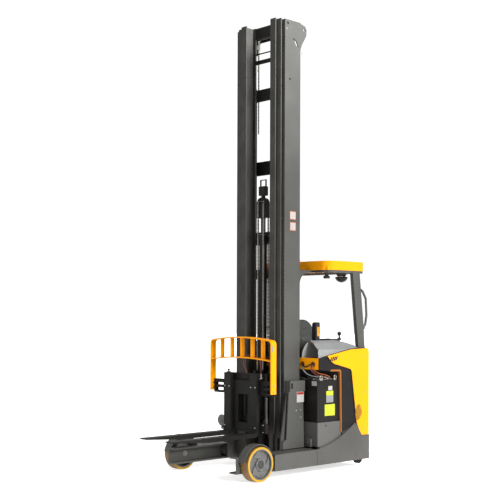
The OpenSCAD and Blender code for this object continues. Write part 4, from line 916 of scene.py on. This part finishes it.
class TRUCK_OT_carriage_fittings(bpy.types.Operator):
    """Add the bolts, latches, hoses and plates of the fork carriage"""

    bl_idname = "truck.carriage_fittings"
    bl_label = "Carriage fittings"

    def execute(self, context):
        for side, name in ((1, "left"), (-1, "right")):
            latch = Form()
            y = side * 195
            latch.block((-350, y - 20, 1019), (-316, y + 20, 1030), 2.5)
            latch.turned((-333, y, 1029), Z, [(0, 8), (10, 8), (12, 13), (22, 14), (27, 9), (28, 0)], 20)
            latch.piece("fork_latch_" + name, black_powder_coat, "fork_carriage")
            stop = Form()
            for z in (470, 880):
                stop.bolt((-309.5, y + side * 32, z), X, 7, 4)
            stop.bolt((-309.5, y - side * 32, 880), X, 7, 4)
            stop.piece("fork_bolts_" + name, zinc_plate, "fork_carriage")
            bolts = Form()
            for z in (846, 906):
                bolts.bolt((-342, side * 459, z), Y * side, 9, 6)
                bolts.bolt((-342, side * 446, z), Y * -side, 8, 5)
            for z in (428, 500):
                bolts.bolt((-353, side * 300, z), X, 7, 5)
            bolts.piece("backrest_bolts_" + name, zinc_plate, "fork_carriage")
        wear = Form()
        for y in range(-390, 391, 60):
            wear.block((-393.5, y - 6, 938), (-389, y + 6, 946), 1, 1)
        wear.piece("bar_notches", black_powder_coat, "fork_carriage")
        plate = Form().block((-341, 459, 1249), (-317, 460.2, 1309), 0.4, 1)
        for z in (1255, 1303):
            plate.disc((-329, 459, z), Y, 3, 2.2, 0.5, 12)
        plate.piece("backrest_plate", grey_jacket, "fork_carriage")
        cover = Form().turned((-343, -306, 511), X, [(0, 60), (2, 62), (9, 62), (11, 60), (11, 24), (15, 22), (15, 7), (18, 6),
                                                     (18, 0)], 56)
        cover.piece("shift_cover", cast_hub, "fork_carriage")
        pipe = Form().turned((-480, 216, 494), Z, [(0, 9), (2, 13), (14, 13), (16, 17), (56, 17), (58, 13), (70, 13), (72, 11),
                                                   (250, 11), (252, 14), (272, 14), (274, 8), (274, 0)], 24)
        pipe.piece("lift_pipe", charcoal_powder_coat, "lift_carriage")
        fittings = Form()
        for y, z in ((-91, 948), (108, 948)):
            fittings.block((-522, y - 15, z), (-490, y + 15, z + 22), 3)
            fittings.turned((-506, y, z + 20), Z, [(0, 9), (12, 9), (14, 12), (26, 12), (28, 8), (40, 8)], 18)
        fittings.block((-512, -245, 974), (-500, -150, 986), 2)
        fittings.piece("hose_unions", zinc_plate, "lift_carriage")
        loop = Form().tube([(-506, -91, 984), (-504, -112, 1040), (-502, -146, 1096), (-502, -150, 1150), (-504, -96, 1190),
                            (-506, 20, 1196), (-506, 88, 1150), (-506, 108, 1070), (-506, 108, 984)], 4.5, 10, 6)
        loop.piece("shift_hose", red_jacket, "lift_carriage")
        return {"FINISHED"}


class TRUCK_OT_reach_fittings(bpy.types.Operator):
    """Add the bolts and plates of the reach carriage"""

    bl_idname = "truck.reach_fittings"
    bl_label = "Reach fittings"

    def execute(self, context):
        for side, name in ((1, "left"), (-1, "right")):
            face = side * 440.0
            skin = lambda t: (min(face, face + side * t), max(face, face + side * t))
            low, high = skin(1.0)
            card = Form().block((-803, low, 722), (-698, high, 830), 0.4, 1)
            for x, z in ((-796, 729), (-705, 729), (-796, 796), (-705, 796)):
                card.disc((x, face + side, z), Y * side, 2.6, 1.0, 0.3, 12)
            card.piece("reach_plate_" + name, white_vinyl, "reach_carriage")
            low, high = skin(1.5)
            Form().block((-799, low, 802), (-702, high, 826), 0.3, 1).piece("reach_plate_head_" + name, red_vinyl,
                                                                            "reach_carriage")
            bolts = Form()
            for x, z in ((-760, 640), (-760, 560), (-690, 640)):
                bolts.bolt((x, face, z), Y * side, 9, 6)
            bolts.piece("reach_bolts_" + name, zinc_plate, "reach_carriage")
        return {"FINISHED"}


# Pieces of the battery and its cables

class TRUCK_OT_battery_gear(bpy.types.Operator):
    """Add the battery's cells, lugs, plates, latches and cables"""

    bl_idname = "truck.battery_gear"
    bl_label = "Battery gear"

    def execute(self, context):
        top, face = 942.0, 590.0
        cells, caps, links = Form(), Form(), Form()
        for i in range(3):
            for j in range(8):
                x, y = -1130 + i * 108, -497 + j * 142
                cells.block((x - 50, y - 67, top - 1), (x + 50, y + 67, top + 8), 3)
                caps.turned((x, y - 20, top + 7), Z, [(0, 16), (8, 16), (12, 12), (13, 0)], 20)
                links.block((x - 12, y + 16, top + 7), (x + 12, y + 52, top + 14), 2)
        cells.piece("battery_cells", black_abs, "chassis")
        caps.piece("battery_caps", white_vinyl, "chassis")
        links.piece("battery_links", grey_jacket, "chassis")
        for side, name in ((1, "left"), (-1, "right")):
            out = side * face
            skin = lambda t: (min(out, out + side * t), max(out, out + side * t))
            lugs = Form()
            for x in (-920, -1137):
                lugs.block((x - 26, min(out - side * 22, out - side * 10), top - 2), (x + 26, max(out - side * 22, out - side * 10), top + 22), 4)
                lugs.ring((x, out - side * 16, top + 34), Y, 17, 4.5, 28, 8)
            lugs.piece("battery_lugs_" + name, zinc_plate, "chassis")
            low, high = skin(1.0)
            Form().block((-1115, low, 577), (-959, high, 695), 0.4, 1).block((-1090, low, 787), (-982, high, 834), 0.4, 1).piece(
                "battery_plates_" + name, lime_vinyl, "chassis")
            Form().block((-1090, low, 714), (-982, high, 786), 0.4, 1).piece("battery_plate_grey_" + name, grey_jacket, "chassis")
            Form().block((-1075, low, 840), (-1012, high, 884), 0.4, 1).piece("battery_plate_white_" + name, white_vinyl,
                                                                              "chassis")
            latch = Form()
            for x in (-880, -1160):
                latch.block((x - 14, low - 3 if side < 0 else low, 900), (x + 14, high + 3 if side > 0 else high, 926), 2.5)
            latch.piece("battery_latches_" + name, black_powder_coat, "chassis")
        Form().block((-846, 512, 892), (-845, 582, 940), 0.4, 1).piece("battery_front_plate", white_vinyl, "chassis")
        # Cables from the header's holes to the battery's poles
        runs = [
            ("grey", 15, grey_jacket, [(-862, 376, 1096), (-836, 384, 1086), (-828, 408, 1052), (-846, 448, 1010),
                                       (-900, 500, 984), (-960, 536, 978), (-1020, 548, 972), (-1056, 540, 953)]),
            ("orange", 12, orange_jacket, [(-862, 526, 1104), (-838, 530, 1094), (-836, 540, 1066), (-868, 552, 1034),
                                           (-930, 560, 1012), (-1010, 562, 996), (-1070, 556, 974), (-1092, 545, 953)]),
            ("red", 11, red_jacket, [(-862, 514, 1098), (-834, 514, 1084), (-830, 522, 1052), (-858, 540, 1016),
                                     (-910, 552, 992), (-970, 556, 984), (-1002, 545, 970), (-1012, 535, 953)]),
            ("black", 14, black_rubber, [(-862, 510, 1112), (-832, 500, 1108), (-820, 468, 1088), (-820, 430, 1086),
                                         (-832, 396, 1100), (-862, 380, 1116)]),
            ("far", 14, grey_jacket, [(-862, -376, 1096), (-836, -384, 1086), (-828, -408, 1052), (-846, -448, 1010),
                                      (-900, -500, 984), (-960, -536, 978), (-1020, -548, 972), (-1056, -540, 953)]),
        ]
        for name, diameter, jacket, points in runs:
            hung_cable("battery_cable_" + name, points, diameter, jacket, "chassis")
        grommets = Form()
        for y in (376, 526, -376, -526):
            grommets.ring((-849, y, 1057 + 118 * 0.45), X, 24, 4, 32, 8)
        grommets.piece("header_grommets", black_rubber, "chassis")
        poles = Form()
        for x, y in ((-1056, 540), (-1092, 545), (-1012, 535), (-1056, -540)):
            poles.turned((x, y, 948), Z, [(0, 13), (5, 13), (7, 8), (16, 8), (17, 0)], 18)
        poles.piece("battery_poles", zinc_plate, "chassis")
        return {"FINISHED"}


# Pieces of the body's sides

class TRUCK_OT_side_trim(bpy.types.Operator):
    """Add the stripes, edge trims, seams and screws of the side panels"""

    bl_idname = "truck.side_trim"
    bl_label = "Side trim"

    def execute(self, context):
        for side, name in ((1, "left"), (-1, "right")):
            face = side * 618.0
            low, high = min(face, face + side * 1.0), max(face, face + side * 1.0)
            stripes = Form()
            for k in range(4):
                x = -1000 - k * 29
                foot, head = 1136 + k * 5, 1184 + k * 3
                stripes.plate([(x, foot), (x - 20, foot), (x - 46, head), (x - 26, head)], "Y", low, high)
            stripes.piece("panel_stripes_" + name, black_rubber, "chassis")
            # Shallow pull recess of the panel, its floor in shade
            pull = [(-1452, 504), (-1424, 512), (-1412, 560), (-1416, 620), (-1436, 664), (-1462, 676), (-1494, 664),
                    (-1504, 620), (-1500, 560), (-1482, 516)]
            cup = Form().plate(pull, "Y", low, high, 0.3)
            cup.piece("panel_pull_" + name, pull_coat_painted_shade, "chassis")
            # Edge trim of the recess, in the yellow paint darkened as painted shade
            edge = side * 600.0
            low, high = min(edge + side * 12, edge - side * 14), max(edge + side * 12, edge - side * 14)
            bend = arc(-1160, 1020, 34, 90, 180, 6)
            inner = arc(-1160, 1020, 12, 180, 90, 6)
            trim = Form().plate([(-1025, 1056)] + bend + [(-1203, 396), (-1185, 396)] + inner + [(-1025, 1036)], "Y",
                                low, high, 2)
            trim.piece("recess_edge_" + name, yellow_powder_coat_painted_shade, "chassis")
            seal = Form().tube([(-966, side * 614, 1196), (-1031, side * 614, 1134), (-1078, side * 614, 1110),
                                (-1200, side * 614, 1081), (-1313, side * 614, 1054), (-1337, side * 614, 1044),
                                (-1350, side * 614, 1016), (-1389, side * 614, 760), (-1428, side * 614, 506),
                                (-1438, side * 614, 466), (-1481, side * 614, 381), (-1505, side * 614, 346)], 4.4, 8, 4)
            seal.tube([(-972, side * 613, 1200), (-1130, side * 613, 1226), (-1330, side * 613, 1261),
                       (-1590, side * 613, 1271)], 4.6, 8, 5)
            seal.piece("panel_seal_" + name, black_rubber, "chassis")
            # Rolled top edge of the skirt, and the seam where it meets the leg
            rise = [k / 12 for k in range(13)]
            crest = [(-851 - 552 * t, side * 618, 253 + 225 * (0.62 * t * t + 0.38 * t)) for t in rise]
            Form().tube(crest, 4.5, 8, 2).piece("skirt_edge_" + name, charcoal_powder_coat, "chassis")
            bracket = Form()
            bracket.block((-840, min(side * 440, side * 528), 262), (-812, max(side * 440, side * 528), 346), 4)
            bracket.bolt((-812, side * 484, 305), X, 10, 7)
            bracket.piece("tray_bracket_" + name, charcoal_powder_coat, "chassis")
            screws = Form()
            for x, z in ((-1560, 1180), (-1560, 420), (-1590, 800), (-1120, 1160)):
                screws.turned((x, face, z), Y * side, [(0, 7), (1.5, 6), (2.4, 0)], 20)
            screws.piece("panel_screws_" + name, zinc_plate, "chassis")
        return {"FINISHED"}


# Pieces of the driver's place

class TRUCK_OT_cab_fittings(bpy.types.Operator):
    """Add lenses, keys, grips, pedals and screws of the driver's place"""

    bl_idname = "truck.cab_fittings"
    bl_label = "Driver's place"

    def execute(self, context):
        lens = Form().block((-1168, 319.5, 1396), (-1134, 322.5, 1493), 2.5)
        lens.piece("pod_lens", amber_lens, "chassis")
        cap = Form().turned((-1135, 45, 2190), Z, [(0, 24), (6, 24), (10, 19), (34, 17), (40, 12), (42, 0)], 28)
        cap.piece("roof_beacon", amber_lens, "chassis")
        mirror = Form().turned((-1502, 337.3, 2060), -Z, [(0, 14), (18, 14), (22, 62), (28, 68), (40, 67), (56, 58),
                                                          (70, 42), (80, 22), (84, 0)], 48)
        mirror.piece("mirror_dome", black_abs, "chassis")
        bright = Form().turned((-1502, 337.3, 2022), Vector((0.5, 0.5, -1)), [(0, 50), (12, 48), (24, 38), (31, 20), (33, 0)], 40)
        bright.piece("mirror_glass", hard_chrome, "chassis")
        lamp = Form().turned((-1262, 337.3, 2054), -Z, [(0, 20), (10, 20), (12, 34), (34, 36), (40, 30), (42, 0)], 36)
        lamp.piece("lamp_body", dark_abs, "chassis")
        glass = Form().turned((-1262, 337.3, 2014), -Z, [(0, 29), (3, 27), (7, 18), (8, 0)], 32)
        glass.piece("lamp_lens", clear_lens, "chassis")
        self.console_gear()
        self.floor_gear()
        self.housing_gear()
        return {"FINISHED"}

    def console_gear(self):
        """Stop button and key beside the wheel, the wheel's cap and the console's screws."""
        x, y = -1120, -80
        z = height_on("front_cowl", x, y)
        Form().turned((x, y, z - 3), Z, [(0, 30), (5, 30), (7, 27), (9, 27)], 36).piece("stop_base", amber_lens, "chassis")
        Form().turned((x, y, z + 5), Z, [(0, 11), (14, 11), (16, 20), (22, 22), (29, 17), (32, 0)], 32).piece(
            "stop_button", red_vinyl, "chassis")
        x, y = -1185, 60
        z = height_on("front_cowl", x, y)
        key = Form().turned((x, y, z - 3), Z, [(0, 17), (6, 17), (9, 14), (12, 14)], 28)
        key.block((x - 9, y - 2, z + 8), (x + 9, y + 2, z + 32), 1.5)
        key.piece("key_switch", bare_steel, "chassis")
        cap = Form().turned((-1440, 200, 1361), Z, [(0, 30), (3, 30), (6, 24), (7, 0)], 40)
        cap.piece("wheel_centre_cap", dark_abs, "chassis")
        screws = Form()
        for x, y in ((-900, 560), (-1100, 580), (-1300, 580), (-1480, 560)):
            for side in SIDES:
                screws.disc((x, side * y, height_on("console", x, side * y) - 1), Z, 7, 4, 1, 16)
        screws.piece("console_screws", zinc_plate, "chassis")

    def floor_gear(self):
        """Pedals on the floor of the bay."""
        pedals, treads = Form(), Form()
        for y in (40, 190):
            pedals.block((-1345, y, 266), (-1245, y + 90, 276), 4)
            for k in range(6):
                treads.block((-1338 + 15 * k, y + 8, 275), (-1330 + 15 * k, y + 82, 279), 1)
        pedals.leaned(-9, "Y", (-1345, 0, 266)).piece("pedals", black_powder_coat, "chassis")
        treads.leaned(-9, "Y", (-1345, 0, 266)).piece("pedal_treads", black_rubber, "chassis")

    def housing_gear(self):
        """Vents, seams and screws of the housing beside the bay, and the rear reflectors."""
        vents = Form()
        for k in range(9):
            vents.block((-1560, -136, 520 + k * 26), (-1300, -132.5, 532 + k * 26), 1.5)
        vents.piece("housing_vents", black_rubber, "chassis")
        seam = Form()
        seam.tube([(-1600, -134.6, 330), (-1600, -134.6, 900)], 1.6, 6, 1)
        seam.tube([(-1600, -134.6, 900), (-1230, -134.6, 900)], 1.6, 6, 1)
        seam.piece("housing_seams", black_rubber, "chassis")
        screws = Form()
        for x, z in ((-1585, 350), (-1585, 880), (-1245, 350), (-1245, 880)):
            screws.disc((x, -135.5, z), Y, 8, 4, 1, 16)
        screws.piece("housing_screws", zinc_plate, "chassis")
        reflectors = Form()
        for side in SIDES:
            reflectors.turned((-1633.6, side * 560, 760), -X, [(-3, 30), (0.2, 30), (0.3, 26)], 36)
        reflectors.piece("rear_reflectors", red_lens, "chassis")
        feet = Form()
        for x, z in ((-1590, 1888), (-1630, 1486)):
            feet.turned((x, 539, z), Vector((-0.6, 0, 0.1)), [(-8, 19), (4, 19), (10, 15)], 24)
        feet.piece("handle_collars", charcoal_powder_coat, "chassis")


class TruckSettings(bpy.types.PropertyGroup):
    """Light and camera of the stage."""

    key_strength: bpy.props.FloatProperty(name="Side light", description="Strength of the light at the truck's left",
                                          default=5.6, min=0.0)
    camera_height: bpy.props.FloatProperty(name="Camera height", description="Height of the camera over the floor",
                                           default=1.594, min=0.0, unit="LENGTH")


class TRUCK_OT_finishes(bpy.types.Operator):
    """Give every node of the frame its finish"""

    bl_idname = "truck.finishes"
    bl_label = "Finishes"

    def execute(self, context):
        for maker, nodes in FINISHES.items():
            for name in nodes:
                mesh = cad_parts[name].data
                mesh.materials.clear()
                mesh.materials.append(finish_of(maker))
        return {"FINISHED"}


class TRUCK_OT_stage(bpy.types.Operator):
    """Lay the pale floor, set the studio lights and aim the camera"""

    bl_idname = "truck.stage"
    bl_label = "Stage"

    def execute(self, context):
        settings = context.scene.truck
        self.lay_floor(context)
        self.light_room(context)
        self.hang_key(context, settings)
        self.aim_camera(context, settings)
        return {"FINISHED"}

    def lay_floor(self, context):
        mesh = bpy.data.meshes.new("studio_floor")
        reach, sides = 90.0, 96
        rim = [(reach * math.cos(math.tau * k / sides), reach * math.sin(math.tau * k / sides), 0) for k in range(sides)]
        mesh.from_pydata(rim, [], [tuple(range(sides))])
        floor = bpy.data.objects.new("studio_floor", mesh)
        context.scene.collection.objects.link(floor)
        # Matt white paper, lit from below so that the room stays pale in the truck's shadow
        material, tree, shader, place = new_material("studio_paper_matt", Roughness=0.9)
        shader.inputs["Base Color"].default_value = linear("#F4F4F2")
        shader.inputs["Emission Color"].default_value = (1.0, 1.0, 1.0, 1.0)
        shader.inputs["Emission Strength"].default_value = 0.6
        mesh.materials.append(material)

    def light_room(self, context):
        """A soft room: bright walls all round under a dimmer ceiling."""
        world = bpy.data.worlds.new("studio_room")
        context.scene.world = world
        world.use_nodes = True
        tree = world.node_tree
        ground = tree.nodes["Background"]
        ground.inputs["Color"].default_value = (1, 1, 1, 1)
        facing = add_node(tree, "ShaderNodeTexCoord").outputs["Generated"]
        rise = add_node(tree, "ShaderNodeSeparateXYZ", links={"Vector": facing}).outputs["Z"]
        power = add_node(tree, "ShaderNodeMapRange", {"interpolation_type": "SMOOTHSTEP"},
                         {"From Min": 0.3, "From Max": 0.62, "To Min": 1.06, "To Max": 0.42},
                         {"Value": rise}).outputs["Result"]
        tree.links.new(power, ground.inputs["Strength"])

    def hang_key(self, context, settings):
        light = bpy.data.lights.new("side_light", "SUN")
        light.energy = settings.key_strength
        light.angle = math.radians(25)
        lamp = bpy.data.objects.new("side_light", light)
        lamp.location = (0.0, 6.0, 5.0)
        shine = Vector((-0.04, -0.86, -0.50))
        lamp.rotation_euler = shine.to_track_quat("-Z", "Y").to_euler()
        context.scene.collection.objects.link(lamp)

    def aim_camera(self, context, settings):
        heading = math.radians(43.7)
        rise = math.radians(0.3)
        roll = math.radians(0.2)
        camera = bpy.data.cameras.new("photo_camera")
        camera.sensor_width = 36.0
        camera.lens = 73.65
        camera.shift_y = 0.124
        camera.clip_end = 200.0
        body = bpy.data.objects.new("photo_camera", camera)
        body.location = (7.359, 7.697, settings.camera_height)
        look = Vector((-math.sin(heading) * math.cos(rise), -math.cos(heading) * math.cos(rise), math.sin(rise)))
        turn = look.to_track_quat("-Z", "Y").to_matrix() @ Matrix.Rotation(roll, 3, "Z")
        body.rotation_euler = turn.to_euler()
        context.scene.collection.objects.link(body)
        context.scene.camera = body
        context.scene.view_settings.view_transform = "Standard"


class TRUCK_PT_panel(bpy.types.Panel):
    """Lists the steps in the sidebar"""

    bl_idname = "TRUCK_PT_panel"
    bl_label = "Reach Truck"
    bl_space_type = "VIEW_3D"
    bl_region_type = "UI"
    bl_category = "Reach Truck"

    def draw(self, context):
        settings = context.scene.truck
        self.layout.prop(settings, "key_strength")
        self.layout.prop(settings, "camera_height")
        for step in STEPS:
            self.layout.operator(step.bl_idname)


STEPS = [TRUCK_OT_stage, TRUCK_OT_finishes, TRUCK_OT_back_pad, TRUCK_OT_load_wheels, TRUCK_OT_chains,
         TRUCK_OT_mast_fittings, TRUCK_OT_carriage_fittings, TRUCK_OT_reach_fittings, TRUCK_OT_battery_gear,
         TRUCK_OT_side_trim, TRUCK_OT_cab_fittings]
CLASSES = [TruckSettings, *STEPS, TRUCK_PT_panel]


def register():
    for kind in CLASSES:
        bpy.utils.register_class(kind)
    bpy.types.Scene.truck = bpy.props.PointerProperty(type=TruckSettings)


def unregister():
    del bpy.types.Scene.truck
    for kind in reversed(CLASSES):
        bpy.utils.unregister_class(kind)


def main():
    register()
    for step in STEPS:
        group, name = step.bl_idname.split(".")
        getattr(getattr(bpy.ops, group), name)()


if __name__ == "__main__":
    main()
